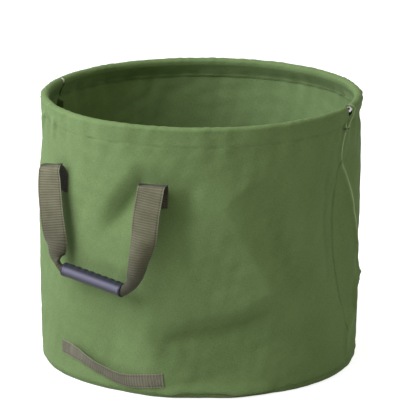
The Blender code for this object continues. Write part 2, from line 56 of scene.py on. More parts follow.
rad = np.radians


# smoothStep: 3t^2 - 2t^3 on t held between 0 and 1
def smoothStep(t):
    t = np.clip(t, 0.0, 1.0)
    return t * t * (3.0 - 2.0 * t)


# bump: 1 between low and high, easing to 0 over a soft stretch outside them
def bump(value, low, high, soft):
    return smoothStep((value - low + soft) / soft) * smoothStep((high + soft - value) / soft)


# throughPoints: cubic through set-out rows, slopes taken from each row's neighbours
def throughPoints(rows, shares):
    rows = np.asarray(rows, float)
    padded = np.vstack([2 * rows[0] - rows[1], rows, 2 * rows[-1] - rows[-2]])
    place = np.clip(np.asarray(shares, float), 0.0, 1.0) * (len(rows) - 1)
    spot = np.minimum(place.astype(int), len(rows) - 2)
    t = (place - spot)[:, None]
    before, first, last, after = (padded[spot + k] for k in range(4))
    square = 2 * before - 5 * first + 4 * last - after
    cube = 3 * (first - last) + after - before
    return first + 0.5 * t * (last - before + t * (square + t * cube))


# runAlong: the length of a polyline up to each of its points
def runAlong(points):
    return np.concatenate([[0.0], np.cumsum(np.linalg.norm(np.diff(points, axis=0), axis=1))])


# evenSteps: a polyline read again at equal runs of its own length, with other columns read along it
def evenSteps(points, step, *extras):
    runs = runAlong(points)
    places = np.linspace(0.0, runs[-1], int(runs[-1] / step) + 1)
    read = [[np.interp(places, runs, column) for column in np.asarray(v).T] for v in (points, *extras)]
    return places, *(np.stack(columns, axis=1) for columns in read)


# unit: each vector over its own length
def unit(vectors):
    return vectors / np.linalg.norm(vectors, axis=-1, keepdims=True)


# turnPoint: (r sin a, -r cos a, z) for arrays of angle, radius and height
def turnPoint(angle, radius, height):
    angle, radius, height = np.broadcast_arrays(angle, radius, height)
    return np.stack([radius * np.sin(angle), -radius * np.cos(angle), height], axis=-1)


# waysRound: the way round the wall, (cos a, sin a, 0), and the way out of it, (sin a, -cos a, 0)
def waysRound(angle):
    return turnPoint(angle + math.pi / 2, 1.0, 0.0), turnPoint(angle, 1.0, 0.0)


# A socket in an expression: each sign adds one Math node
class Wire:
    def __init__(self, nodes, socket):
        self.nodes, self.socket = nodes, socket

    def maths(self, operation, *values):
        return self.nodes.node("Math", {"operation": operation}, dict(enumerate(values)))

    def __add__(self, other):
        return self.maths("ADD", self, other)

    def __sub__(self, other):
        return self.maths("SUBTRACT", self, other)

    def __rsub__(self, other):
        return self.maths("SUBTRACT", other, self)

    def __mul__(self, other):
        return self.maths("MULTIPLY", self, other)

    __radd__ = __add__
    __rmul__ = __mul__

    # cosine of the value with a period of one pitch
    def wave(self, pitch):
        return self.maths("COSINE", self * (2 * math.pi / pitch))

    # the value held between 0 and 1
    def held(self):
        return self.nodes.node("Clamp", None, {0: self})

    # the value without its sign
    def plain(self):
        return self.maths("ABSOLUTE", self)


# Any node tree: node() takes a node's kind, its settings and its sockets' values or wires
class Nodes:
    def __init__(self, tree):
        self.tree = tree

    def node(self, kind, settings=None, sockets=None, output=0):
        node = self.tree.nodes.new("ShaderNode" + kind)
        for name, value in (settings or {}).items():
            setattr(node, name, value)
        for socket, value in (sockets or {}).items():
            if isinstance(value, Wire):
                self.tree.links.new(value.socket, node.inputs[socket])
            else:
                node.inputs[socket].default_value = value
        return Wire(self, node.outputs[output])

    def also(self, wire, output):
        return Wire(self, wire.socket.node.outputs[output])

    def mix(self, first, second, share):
        return self.node("Mix", {"data_type": "RGBA"}, {0: share, 6: first, 7: second}, output=2)


# A node material: constants go straight on the shader, what varies comes in by feed()
class Finish(Nodes):
    def __init__(self, name, **constants):
        self.material = bpy.data.materials.new(name)
        self.material.use_nodes = True
        super().__init__(self.material.node_tree)
        self.shader = self.tree.nodes["Principled BSDF"]
        for socket, value in constants.items():
            self.shader.inputs[socket.replace("_", " ")].default_value = value

    def feed(self, **wires):
        for socket, wire in wires.items():
            self.tree.links.new(wire.socket, self.shader.inputs[socket.replace("_", " ")])

    def bump(self, height, distance, strength):
        sockets = {"Strength": strength, "Distance": distance, "Height": height}
        self.feed(Normal=self.node("Bump", None, sockets))

    # a per-point attribute of the piece
    def mark(self, name):
        return self.node("Attribute", {"attribute_name": name}, None, output=2)

    # noise about 0, at so many blotches to the metre, drawn out by a share on each axis
    def noise(self, place, scale, detail=2.0, drawn=None):
        if drawn:
            place = self.node("Mapping", None, {"Vector": place, "Scale": drawn})
        return self.node("TexNoise", None, {"Vector": place, "Scale": scale, "Detail": detail}) - 0.5


# paint: a colour that covers fully
def paint(colour):
    return (*colour, 1.0)


# makePiece: mesh object at the origin, with a map in metres and any per-point attributes
def makePiece(name, points, faces, finish, mapping=None, marks=None):
    points = np.asarray(points, float).reshape(-1, 3)
    mesh = bpy.data.meshes.new(name)
    mesh.from_pydata(points.tolist(), [], faces.tolist() if hasattr(faces, "tolist") else faces)
    if mapping is not None:
        corners = np.zeros(len(mesh.loops), np.int32)
        mesh.loops.foreach_get("vertex_index", corners)
        layer = mesh.uv_layers.new(name="cloth")
        layer.data.foreach_set("uv", np.asarray(mapping, float).reshape(-1, 2)[corners].ravel())
    for label, values in (marks or {}).items():
        mark = mesh.attributes.new(label, "FLOAT", "POINT")
        mark.data.foreach_set("value", np.asarray(values, float).ravel())
    mesh.shade_smooth()
    mesh.set_sharp_from_angle(angle=rad(50.0))
    mesh.materials.append(finish.material)
    piece = bpy.data.objects.new(name, mesh)
    bpy.context.scene.collection.objects.link(piece)
    return piece


# gridFaces: four-cornered faces between neighbouring rows and columns; on a wrap the last column meets
# the first
def gridFaces(rows, columns, wrap=False, start=0):
    index = start + np.arange(rows * columns).reshape(rows, columns)
    near = index if wrap else index[:, :-1]
    following = np.roll(index, -1, axis=1) if wrap else index[:, 1:]
    return np.stack([near[:-1], following[:-1], following[1:], near[1:]], axis=-1).reshape(-1, 4)


# closedShell: an outer and an inner sheet on like grids, joined along their free edges.
# Columns turned into rows by the right hand point outwards.
def closedShell(outer, inner, wrap=False):
    rows, columns = outer.shape[:2]
    size = rows * columns
    index = np.arange(size).reshape(rows, columns)
    front = gridFaces(rows, columns, wrap)
    back = gridFaces(rows, columns, wrap, size)[:, ::-1]
    faces = [front, back]
    for edge, way in ((index[0], -1), (index[-1], 1)):
        near = edge if wrap else edge[:-1]
        after = np.roll(edge, -1) if wrap else edge[1:]
        strip = np.stack([near, after, after + size, near + size], axis=-1)
        faces.append(strip[:, ::way])
    if not wrap:
        for edge, way in ((index[:, 0], 1), (index[:, -1], -1)):
            strip = np.stack([edge[:-1], edge[1:], edge[1:] + size, edge[:-1] + size], axis=-1)
            faces.append(strip[:, ::way])
    points = np.concatenate([outer.reshape(-1, 3), inner.reshape(-1, 3)])
    return points, np.concatenate(faces)


# sheetNormals: cross product of the grid's two slopes
def sheetNormals(grid, wrap=False):
    if wrap:
        wide = np.concatenate([grid[:, -1:], grid, grid[:, :1]], axis=1)
        across = np.gradient(wide, axis=1)[:, 1:-1]
    else:
        across = np.gradient(grid, axis=1)
    return unit(np.cross(across, np.gradient(grid, axis=0)))


# sheetMap: runs across the middle row and up the middle column, in metres
def sheetMap(grid):
    rows, columns = grid.shape[:2]
    across, up = runAlong(grid[rows // 2]), runAlong(grid[:, columns // 2])
    return np.stack(np.meshgrid(across, up), axis=-1)


# bothSides: a grid's map, given to the outer and the inner sheet alike
def bothSides(mapping):
    return np.concatenate([mapping.reshape(-1, 2)] * 2)


# Camera and light

camera = {
    "aim": (0.0, 0.0, 0.2777), "away": 6.0, "turn": 37.0, "rise": 14.71,
    "lens": 307.5, "sensor": 36.0, "shift": -0.00375,
}
studio = {
    "keyTurn": -34.0, "keyRise": 42.0, "keySize": 3.0, "keyPower": 173.0,
    "sideTurn": 150.0, "sideRise": 25.0, "sideSize": 2.5, "sidePower": 9.0,
    "lightAway": 3.2, "lightColour": (1.0, 0.99, 1.28), "fill": (0.505, 0.500, 0.435),
    "floorColour": (0.52, 0.52, 0.52), "floorGlow": 0.80, "floorReach": 15.0,
}


# aimed: a camera or a light, so far from the camera's aim at a turn and a rise, looking at it
def aimed(name, data, away, turn, rise):
    towards = Vector(turnPoint(rad(turn), math.cos(rad(rise)), math.sin(rad(rise))))
    item = bpy.data.objects.new(name, data)
    item.location = Vector(camera["aim"]) + towards * away
    item.rotation_euler = towards.to_track_quat("Z", "Y").to_euler()
    bpy.context.scene.collection.objects.link(item)
    return item


# addCamera: the photo's view, a long lens far away
def addCamera():
    data = bpy.data.cameras.new("photoCamera")
    data.lens, data.sensor_width, data.shift_x = camera["lens"], camera["sensor"], camera["shift"]
    item = aimed("photoCamera", data, camera["away"], camera["turn"], camera["rise"])
    bpy.context.scene.camera = item


# addLight: a square light of the studio's size and power, aimed at the bag
def addLight(name):
    data = bpy.data.lights.new(f"{name}Light", "AREA")
    data.size, data.energy, data.color = studio[f"{name}Size"], studio[f"{name}Power"], studio["lightColour"]
    aimed(f"{name}Light", data, studio["lightAway"], studio[f"{name}Turn"], studio[f"{name}Rise"])


# seenPlainly: 1 on rays that show the floor and the sky to the eye, straight on, in gloss or through glass
def seenPlainly(nodes):
    rays = nodes.node("LightPath")
    glossy = nodes.also(rays, "Is Glossy Ray")
    through = nodes.also(rays, "Is Transmission Ray")
    return nodes.node("Math", {"operation": "ADD", "use_clamp": True}, {0: rays + glossy, 1: through})


# addSky: an even fill light that shows white to the eye
def addSky():
    world = bpy.data.worlds.new("studio")
    world.use_nodes = True
    bpy.context.scene.world = world
    nodes = Nodes(world.node_tree)
    colour = nodes.mix(paint(studio["fill"]), paint((1.0, 1.0, 1.0)), seenPlainly(nodes))
    world.node_tree.links.new(colour.socket, world.node_tree.nodes["Background"].inputs["Color"])


# addFloor: a wide floor that glows to the eye, so that it shows white with a soft shadow
def addFloor():
    finish = Finish("paleFloor", Base_Color=paint(studio["floorColour"]), Roughness=0.9,
                    Emission_Strength=1.0)
    glow = finish.mix(paint((0.0, 0.0, 0.0)), paint([studio["floorGlow"]] * 3), seenPlainly(finish))
    finish.feed(Emission_Color=glow)
    reach = studio["floorReach"]
    mesh = bpy.data.meshes.new("floor")
    corners = [(-reach, -reach, 0.0), (reach, -reach, 0.0), (reach, reach, 0.0), (-reach, reach, 0.0)]
    mesh.from_pydata(corners, [], [(0, 1, 2, 3)])
    mesh.materials.append(finish.material)
    floor = bpy.data.objects.new("floor", mesh)
    bpy.context.scene.collection.objects.link(floor)


# Finishes

cloth = {
    "weave": 0.0015, "grain": 400.0, "mottle": 13.0, "slub": 120.0, "slubRatio": 9.0,
    "grainShare": 0.75, "mottleShare": 0.7, "slubShare": 0.8, "weaveShare": 0.10, "creaseShare": 0.40,
}
ribs = {
    "pitch": 0.00435, "height": 0.00009, "cord": 0.0021, "edge": 0.0017, "groove": 0.0034, "grain": 700.0,
    "mottle": 45.0, "grainShare": 0.55, "mottleShare": 0.6, "edgeShare": 0.40, "grooveShare": 0.35,
    "edgeThin": 0.45,
}


# clothPlace: the piece's map in metres, as one vector and as across and up wires
def clothPlace(finish):
    place = finish.node("UVMap", {"uv_map": "cloth"})
    across = finish.node("SeparateXYZ", None, {0: place})
    return place, across, finish.also(across, 1)


# bodyPlace: the place on the whole piece, in metres
def bodyPlace(finish):
    return finish.node("TexCoord", None, None, output=3)


# wovenFinish: plain weave of two thread runs with slubs along both, thread grain and broad mottling. The
# crease attribute paints shade below 0 and highlight above it, paler still past 1.
def wovenFinish(name, dark, light, pale=None):
    finish = Finish(name, Sheen_Weight=0.015, Sheen_Roughness=0.5, Specular_IOR_Level=0.07)
    place, across, up = clothPlace(finish)
    crossing = across.wave(cloth["weave"]) * up.wave(cloth["weave"])
    fine = finish.noise(place, cloth["grain"])
    slub = finish.noise(place, cloth["slub"], drawn=(1.0, cloth["slubRatio"], 1.0))
    weftSlub = finish.noise(place, cloth["slub"], drawn=(cloth["slubRatio"], 1.0, 1.0))
    broad = finish.noise(bodyPlace(finish), cloth["mottle"], 4.0)
    share = 0.5 + fine * cloth["grainShare"] + broad * cloth["mottleShare"] + slub * cloth["slubShare"]
    share = share + weftSlub * cloth["slubShare"] + crossing * cloth["weaveShare"]
    if pale:
        crease = finish.mark("crease")
        share = share + crease * cloth["creaseShare"]
    share = share.held()
    colour = finish.mix(paint(dark), paint(light), share)
    if pale:
        # past 1 the colour goes towards the pale one, a painted highlight along the brightest ridge lines
        colour = finish.mix(colour, paint(pale), ((crease - 1.0) * 1.1).held())
    finish.feed(Base_Color=colour, Roughness=0.90 - share * 0.08)
    finish.bump(crossing * 0.5 + fine * 0.8, 0.0003, 0.55)
    return finish


# ribbedFinish: webbing with dark grooves between its cross ribs, a pale edge with a dark groove beside it
# and a fine thread grain. The shade attribute paints shade, taking it towards the deep colour.
def ribbedFinish(name, dark, light, deep, width):
    finish = Finish(name, Sheen_Weight=0.04, Sheen_Roughness=0.4, Specular_IOR_Level=0.15)
    place, across, up = clothPlace(finish)
    rib = up.wave(ribs["pitch"])
    cord = across.wave(ribs["cord"])
    fine = finish.noise(place, ribs["grain"])
    broad = finish.noise(place, ribs["mottle"], 3.0)
    outward = (across - width / 2).plain()
    edge = ((outward - (width / 2 - ribs["edge"])) * 900.0).held()
    groove = (1.0 - ((outward - (width / 2 - ribs["groove"])) * 700.0).plain()).held()
    share = 0.42 + rib * 0.15 + cord * 0.06 + fine * ribs["grainShare"] + broad * ribs["mottleShare"]
    share = (share + edge * ribs["edgeShare"] - groove * ribs["grooveShare"]).held()
    colour = finish.mix(paint(dark), paint(light), share)
    colour = finish.mix(colour, paint(deep), finish.mark("shade") * 0.85)
    finish.feed(Base_Color=colour, Roughness=0.88 - share * 0.1)
    finish.bump(rib * 0.5 + cord * 0.15 + fine * 0.5, 0.0004, 0.7)
    return finish


# threadFinish: tight diagonal twist along each stitch
def threadFinish(name, dark, light):
    finish = Finish(name, Specular_IOR_Level=0.35)
    across, up = clothPlace(finish)[1:]
    twist = (across + up * 0.6).wave(stitch["twist"])
    share = (0.5 + twist * 0.35 + finish.noise(bodyPlace(finish), stitch["fuzz"]) * 0.6).held()
    finish.feed(Base_Color=finish.mix(paint(dark), paint(light), share), Roughness=0.72 - share * 0.1)
    finish.bump(twist, 0.0001, 0.6)
    return finish


# gripFinish: black plastic, matt and dark on its finger ribs, smoother along its front, where a paler bluish
# band is a painted reflection, with a dark ring at each end
def gripFinish():
    finish = Finish("blackGripPlastic", Specular_IOR_Level=0.35, Specular_Tint=paint((0.86, 0.86, 1.0)))
    place, across, up = clothPlace(finish)
    pebble = finish.noise(place, grip["pebble"])
    sheenMottle = finish.noise(place, grip["sheenMottle"], 3.0)
    off = (across - grip["sheenPlace"] * grip["radius"]) * (1.0 / (grip["sheenReach"] * grip["radius"]))
    band = finish.node("MapRange", {"interpolation_type": "SMOOTHSTEP"}, {0: 1.0 - off.plain()})
    colour = finish.mix(paint((0.008, 0.010, 0.009)), paint((0.042, 0.043, 0.041)), off.held())
    # painted reflection: a paler, bluish band along the front, mottled by noise
    colour = finish.mix(colour, paint((0.098, 0.096, 0.116)), (band + sheenMottle * 0.3 * band).held())
    endRing = ((up.plain() - (grip["length"] / 2 - grip["endRing"])) * 1500.0).held()
    colour = finish.mix(colour, paint((0.005, 0.005, 0.005)), endRing)
    finish.feed(Base_Color=colour, Roughness=(0.78 - band * 0.36 + sheenMottle * 0.15 + pebble * 0.10).held())
    finish.bump(pebble, 0.00012, 0.35)
    return finish


# tubeFinish: off-white extruded tube with faint lengthwise streaks
def tubeFinish():
    finish = Finish("whiteTube", Specular_IOR_Level=0.45)
    place = clothPlace(finish)[0]
    streak = finish.noise(place, 700.0, drawn=(1.0, 0.03, 1.0))
    share = (0.5 + streak * 0.6 + finish.noise(place, 30.0, 3.0) * 0.6).held()
    colour = finish.mix(paint((0.64, 0.63, 0.55)), paint((0.80, 0.79, 0.72)), share)
    finish.feed(Base_Color=colour, Roughness=0.38 + share * 0.14)
    finish.bump(streak, 0.0001, 0.2)
    return finish


# Bag wall

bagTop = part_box("front_wall_panel")[1].z
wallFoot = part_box("front_wall_panel")[0].z
bag = {
    "rim": 0.280, "foot": 0.2745, "canvas": 0.0012, "tape": 0.0008, "gap": 0.0003,
    "hoop": 0.011, "bore": 0.005, "hem": 0.035, "stitchDrop": 0.032, "inset": 0.0027,
    "seamTurn": 103.0, "allowance": 0.012, "fold": 0.0015, "slit": 0.00018, "bindingDepth": 0.009,
    "seamFoot": 0.036, "rightGap": 0.007, "leftGap": 0.004, "hoopRecess": 0.004,
    "flange": 0.025, "corner": 0.006, "bindingLow": 0.010, "bindingTop": 0.033,
    "seamRows": 110, "hoopSteps": 300, "hoopSides": 24,
}
seamHead = bagTop - 0.042
stitchHeight = bagTop - bag["stitchDrop"]
hoopHeight = bagTop - bag["canvas"] - bag["gap"] - bag["hoop"] / 2
hoopRadius = bag["rim"] - bag["canvas"] - bag["gap"] - bag["hoop"] / 2
hemReach = bag["hoop"] / 2 + bag["gap"] + bag["canvas"]

sag = {
    "lean": 0.0075, "leanBack": 0.35, "leanTurn": 37.0, "belly": 0.003, "tuck": 0.024, "tuckDrop": 0.010,
    "seamDent": 0.019, "dentAhead": 22.0, "dentBehind": 18.0, "dentRound": 0.8, "seamDrift": 6.5,
    "leftDrift": 1.5, "courseSoft": 0.022, "seamShade": 0.9, "seamShadeWide": 0.9, "blend": 0.0006,
    "pucker": 0.0014, "puckerSpread": 0.062, "hemPucker": 0.55, "stitchPull": 0.0004, "pullReach": 0.0018,
    "fine": 0.0004, "fineWaves": (0.070, 0.022), "broad": 0.0010, "broadWaves": (0.30, 0.12),
}
seamCourse = (
    (0.00, 0.05, 0.09, 0.126, 0.159, 0.192, 0.231, 0.297, 0.369, 0.409, 0.443, 0.470),
    (0.00, 0.00, 0.07, 0.37, 0.62, 0.79, 0.97, 1.00, 0.70, 0.39, 0.25, 0.0),
)


# fold: its lift, how far it reaches to the left and to the right of its route, how rounded its crest is,
# its route over the wall as (degrees, height, share), how strongly its line is painted (a painted highlight
# along a ridge, painted shade along a valley) and how wide that painted line is
def fold(lift, left, right, crest, *route, foldShading=0.8, edge=None):
    return {"lift": lift, "left": left, "right": right, "crest": crest, "route": route, "foldShading": foldShading,
            "edge": edge or 0.0025 + crest}


bigFolds = [
    fold(0.008, 0.070, 0.080, 0.006, (61.8, 0.184, 1.0), (54.9, 0.237, 1.0), (49.0, 0.292, 0.9),
         (44.4, 0.335, 0.7), foldShading=0.3),
    fold(0.007, 0.070, 0.040, 0.006, (24.0, 0.110, 0.3), (32.0, 0.140, 0.7), (42.0, 0.146, 0.8),
         (53.0, 0.157, 0.95), (61.8, 0.184, 1.0), foldShading=0.3),
    fold(0.008, 0.045, 0.045, 0.004, (44.4, 0.335, 0.7), (50.4, 0.365, 0.5), (58.3, 0.405, 0.15), foldShading=0.3),
]
smallFolds = [
    fold(-0.004, 0.045, 0.050, 0.02, (72.0, 0.190, 0.4), (67.0, 0.270, 1.0), (62.0, 0.350, 0.6)),
    fold(0.0055, 0.012, 0.012, 0.001, (121.0, 0.156, 0.6), (117.7, 0.192, 0.8), (111.0, 0.248, 1.0),
         (106.9, 0.319, 1.0), (103.6, 0.351, 1.0), (99.4, 0.379, 1.0), (97.7, 0.402, 1.0),
         (99.3, 0.419, 1.0), (102.6, 0.442, 0.9), (105.8, 0.473, 0.9), foldShading=2.3, edge=0.0022),
    fold(0.0065, 0.016, 0.014, 0.0015, (102.4, 0.063, 0.4), (103.3, 0.076, 0.8), (108.7, 0.089, 1.0),
         (112.4, 0.100, 1.0), (114.2, 0.138, 1.0), (124.0, 0.161, 0.6), foldShading=1.2, edge=0.0024),
    fold(0.003, 0.02, 0.02, 0.006, (104.0, 0.045, 0.6), (106.0, 0.075, 1.0)),
    fold(0.003, 0.016, 0.010, 0.002, (-49.1, 0.398, 0.3), (-42.2, 0.442, 1.0), (-36.1, 0.462, 0.8)),
    fold(0.002, 0.012, 0.012, 0.002, (-28.4, 0.445, 0.8), (-34.6, 0.466, 0.8)),
    fold(0.002, 0.012, 0.010, 0.002, (-29.7, 0.425, 0.5), (-27.6, 0.453, 1.0)),
    fold(-0.016, 0.030, 0.060, 0.007, (2.5, 0.288, 0.2), (6.5, 0.312, 0.8), (10.5, 0.340, 1.0),
         (15.0, 0.372, 0.7)),
    fold(-0.010, 0.045, 0.095, 0.008, (24.4, 0.088, 0.7), (26.5, 0.106, 1.0), (34.0, 0.113, 0.9),
         (44.0, 0.116, 0.8), (56.0, 0.131, 0.7), (66.0, 0.150, 0.2)),
    fold(-0.005, 0.030, 0.030, 0.006, (112.0, 0.380, 0.4), (117.0, 0.415, 1.0), (120.0, 0.440, 0.9)),
    fold(-0.003, 0.035, 0.030, 0.010, (36.5, 0.174, 0.2), (31.3, 0.261, 0.8), (32.0, 0.349, 1.0),
         (27.8, 0.372, 0.6)),
    fold(0.006, 0.060, 0.090, 0.008, (142.0, 0.060, 0.3), (150.0, 0.150, 1.0), (146.0, 0.260, 0.9),
         (155.0, 0.390, 0.3)),
    fold(0.005, 0.070, 0.035, 0.006, (176.0, 0.090, 0.3), (200.0, 0.135, 1.0), (226.0, 0.120, 0.4)),
    fold(0.005, 0.070, 0.050, 0.008, (214.0, 0.210, 0.4), (232.0, 0.290, 1.0), (228.0, 0.400, 0.4)),
    fold(0.002, 0.050, 0.040, 0.010, (-78.0, 0.130, 0.4), (-66.0, 0.200, 1.0), (-70.0, 0.310, 0.4)),
    fold(-0.003, 0.025, 0.030, 0.008, (92.0, 0.190, 0.4), (90.0, 0.250, 0.8), (89.0, 0.330, 0.8),
         (91.0, 0.400, 0.3)),
]

# Broad hollows as (degrees, height, half width in degrees, half height, depth); a negative depth is a bulge
hollows = [
    (-53.0, 0.405, 30.0, 0.050, 0.0046), (127.0, 0.410, 26.0, 0.050, 0.0028),
    (127.0, 0.190, 24.0, 0.045, 0.0040), (127.0, 0.440, 22.0, 0.014, 0.0035),
    (0.0, 0.075, 13.0, 0.085, 0.0110), (21.0, 0.110, 10.5, 0.130, -0.0095),
    (46.0, 0.150, 15.0, 0.120, 0.0140), (86.0, 0.040, 18.0, 0.070, -0.0080),
    (48.0, 0.000, 10.0, 0.030, -0.0100),
]
# Painted shade as (degrees, height, half width in degrees, half height, how much): darker places low on the
# front and beside the right strap's sewn end
shadePatches = [
    (55.0, 0.110, 11.0, 0.045, 0.90), (42.0, 0.055, 10.0, 0.034, 0.85), (28.5, 0.330, 4.5, 0.030, 0.90),
]
# Stretches of the wall's lower edge as (from, to, easing in degrees, how far): off the base, and up from it
footOut = [(27.0, 60.0, 6.0, 0.0033), (74.0, 97.0, 8.0, 0.0022), (150.0, 172.0, 9.0, 0.00176)]
footUp = [(31.0, 44.0, 5.0, 0.0042), (84.0, 120.0, 30.0, 0.0080)]
footReach = {"out": 0.022, "up": 0.035}


# wallRadius: the straight flare from the foot to the rim
def wallRadius(height):
    return bag["foot"] + (bag["rim"] - bag["foot"]) * (height - wallFoot) / (hoopHeight - wallFoot)


# wallTurn: degrees round the bag from -100, where the seam at the left is, to 260
def wallTurn(angle):
    return (np.degrees(angle) + 100.0) % 360.0 - 100.0


# readSoft: a broken line of knots read at nine places about each value and averaged, which rounds it
def readSoft(value, knots, readings, soft):
    return sum(np.interp(value + soft * k / 4, knots, readings) for k in range(-4, 5)) / 9


# foldProfile: for every place, the nearest point of the fold's route gives a distance d, and the height is
# lift * share * (1 - (sqrt(d^2 + c^2) - c) / reach)^2, with c the crest's roundness
def foldProfile(run, height, each):
    knots = [(rad(turn) * bag["rim"], level, share) for turn, level, share in each["route"]]
    route = throughPoints(knots, np.linspace(0.0, 1.0, 6 * len(knots)))
    first, step = route[:-1], np.diff(route, axis=0)
    length = np.hypot(step[:, 0], step[:, 1])
    dx, dz = run[:, None] - first[:, 0], height[:, None] - first[:, 1]
    t = np.clip((dx * step[:, 0] + dz * step[:, 1]) / length**2, 0.0, 1.0)
    offX, offZ = dx - t * step[:, 0], dz - t * step[:, 1]
    gaps = np.hypot(offX, offZ)
    near = np.argmin(gaps, axis=1)
    row = np.arange(len(near))
    gap = gaps[row, near]
    side = step[near, 0] * offZ[row, near] - step[near, 1] * offX[row, near]
    side = side / (length[near] * gap + 1e-9)
    reach = each["right"] + (each["left"] - each["right"]) * (0.5 + 0.5 * side)
    share = first[near, 2] + t[row, near] * step[near, 2]
    crest = each["crest"]
    fall = 1.0 - (np.sqrt(gap**2 + crest**2) - crest) / reach
    rise = each["lift"] * share * np.clip(fall, 0.0, 1.0) ** 2
    # the mark paints light or shade along the route: lighter on a ridge as a painted highlight, darker in a
    # valley as painted shade
    mark = np.sign(each["lift"]) * share * np.exp(-((gap / each["edge"]) ** 2))
    return rise, mark * each["foldShading"]


# patches: sum of much * exp(-(across / wide)^2 - (up / tall)^2) over the listed places
def patches(turn, height, places):
    return sum(much * np.exp(-(((turn - place) / wide) ** 2) - ((height - level) / tall) ** 2)
               for place, level, wide, tall, much in places)


# ripple: sum of seeded plane waves through space, so it meets itself round the bag
def ripple(points, seed, longest, shortest, count=22):
    draw = np.random.default_rng(seed)
    ways = unit(draw.normal(size=(count, 3)))
    lengths = shortest * (longest / shortest) ** draw.random(count)
    phases = draw.random(count) * 2 * math.pi
    waves = np.cos(points @ (ways / lengths[:, None] * 2 * math.pi).T + phases)
    return waves.sum(axis=1) / math.sqrt(count / 2)


# puckers: sum of waves round the bag, 28 to 62 to the turn
def puckers(angle, seed):
    draw = np.random.default_rng(seed)
    counts = draw.integers(28, 62, 9)
    phases = draw.random(9) * 2 * math.pi
    return sum(np.cos(n * angle + p) for n, p in zip(counts, phases)) / 3.0


# seamShare: how much of its drift a side seam has at each height
def seamShare(height):
    return readSoft(height, *seamCourse, sag["courseSoft"])


# seamTurn: where a side seam runs at each height; the right one drifts forward at half height
def seamTurn(height, label):
    if label == "right":
        return rad(bag["seamTurn"] - sag["seamDrift"] * seamShare(height))
    return rad(bag["seamTurn"] - 180.0 + sag["leftDrift"] * seamShare(height))


# wallSwell: how far the sagging cloth stands off the plain flare, and how creased it is, as painted light
# and shade. The first is a lean that eases out at the foot, a sine belly, the highest of the big folds and
# all small ones, less the hollows and the seam's dent, with ripples and hem puckers. The second sums the
# folds' painted highlights and shade, less the painted shade patches and the painted shade along the seam.
def wallSwell(angle, height):
    shape = np.broadcast(angle, height).shape
    angle = np.broadcast_to(angle, shape).ravel()
    height = np.broadcast_to(height, shape).ravel()
    turn = wallTurn(angle)
    run = np.radians(turn) * bag["rim"]
    rise = -sag["lean"] * np.sin(angle - rad(sag["leanTurn"])) * (1.0 - height / bagTop)
    rise = np.where(rise < 0, rise * sag["leanBack"], rise)
    rise = rise * smoothStep((height + sag["tuckDrop"]) / sag["tuck"])
    rise += sag["belly"] * np.sin(np.pi * np.clip(height / bagTop, 0.0, 1.0)) ** 2
    crease = np.zeros_like(rise)
    big = np.zeros_like(rise)
    for each in bigFolds:
        lift, mark = foldProfile(run, height, each)
        big = 0.5 * (big + lift + np.sqrt((big - lift) ** 2 + sag["blend"] ** 2) - sag["blend"])
        crease = np.maximum(crease, mark)
    rise += big
    for each in smallFolds:
        lift, mark = foldProfile(run, height, each)
        rise += lift
        crease += mark
    rise -= patches(turn, height, hollows)
    # painted shade patches make the crease attribute darker
    crease -= patches(turn, height, shadePatches)
    share = seamShare(height)
    away = turn - (bag["seamTurn"] - sag["seamDrift"] * share)
    ahead = 1.0 - smoothStep(-away / sag["dentAhead"]) ** sag["dentRound"]
    rise -= sag["seamDent"] * share * np.where(away < 0, ahead, 1.0 - smoothStep(away / sag["dentBehind"]))
    crease -= sag["seamShade"] * share * np.exp(-((away / sag["seamShadeWide"]) ** 2))
    places = turnPoint(angle, bag["rim"], height)
    rise += sag["fine"] * ripple(places, 11, *sag["fineWaves"])
    rise += sag["broad"] * ripple(places, 12, *sag["broadWaves"])
    below = (height - stitchHeight) / sag["puckerSpread"]
    gathered = np.where(below < 0, smoothStep(below + 1.0) ** 2, sag["hemPucker"])
    rise += sag["pucker"] * gathered * puckers(angle, 21)
    rise -= sag["stitchPull"] * np.exp(-(((height - stitchHeight) / sag["pullReach"]) ** 2))
    return rise.reshape(shape), crease.reshape(shape)


# onWall: the wall's outer face, with its swell
def onWall(angle, height):
    return wallRadius(height) + wallSwell(angle, height)[0]


# footGape: how far the wall's lower edge moves on the listed stretches, easing to 0 over a reach above it
def footGape(angle, height, stretches, reach):
    turn = wallTurn(angle)
    gape = sum(much * bump(turn, low, high, soft) for low, high, soft, much in stretches)
    return gape * (1.0 - smoothStep((height - wallFoot) / reach))


# footFlare: how far the lower edge stands off the base
def footFlare(angle, height):
    return footGape(angle, height, footOut, footReach["out"])


# footLift: how far the lower edge is drawn up
def footLift(angle, height):
    return footGape(angle, height, footUp, footReach["up"])


# denseSteps: places from low to high, closer together about each (centre, spread, gain)
def denseSteps(low, high, count, crowds):
    fine = np.linspace(low, high, 2001)
    density = 1.0 + sum(gain * np.exp(-(((fine - centre) / spread) ** 2)) for centre, spread, gain in crowds)
    total = np.concatenate([[0.0], np.cumsum((density[1:] + density[:-1]) / 2)])
    return np.interp(np.linspace(0.0, total[-1], count), total, fine)


panels = {
    "front": {"first": "left", "last": "right", "columns": 290,
              "crowds": [(0.985, 0.06, 1.8), (0.22, 0.05, 0.8)]},
    "back": {"first": "right", "last": "left", "columns": 250, "crowds": [(0.06, 0.08, 1.5)]},
}
hem = {
    "rows": 122, "arc": 15, "tail": 12, "crowds": [(stitchHeight, 0.02, 1.2), (wallFoot, 0.02, 0.8)],
    "veerDrop": 0.012, "veerRun": 0.0065, "seamSoft": 0.003, "hollow": 0.0002, "gather": 0.5, "shade": 0.5,
}
foldSteps = 5
edgeSteps = 3


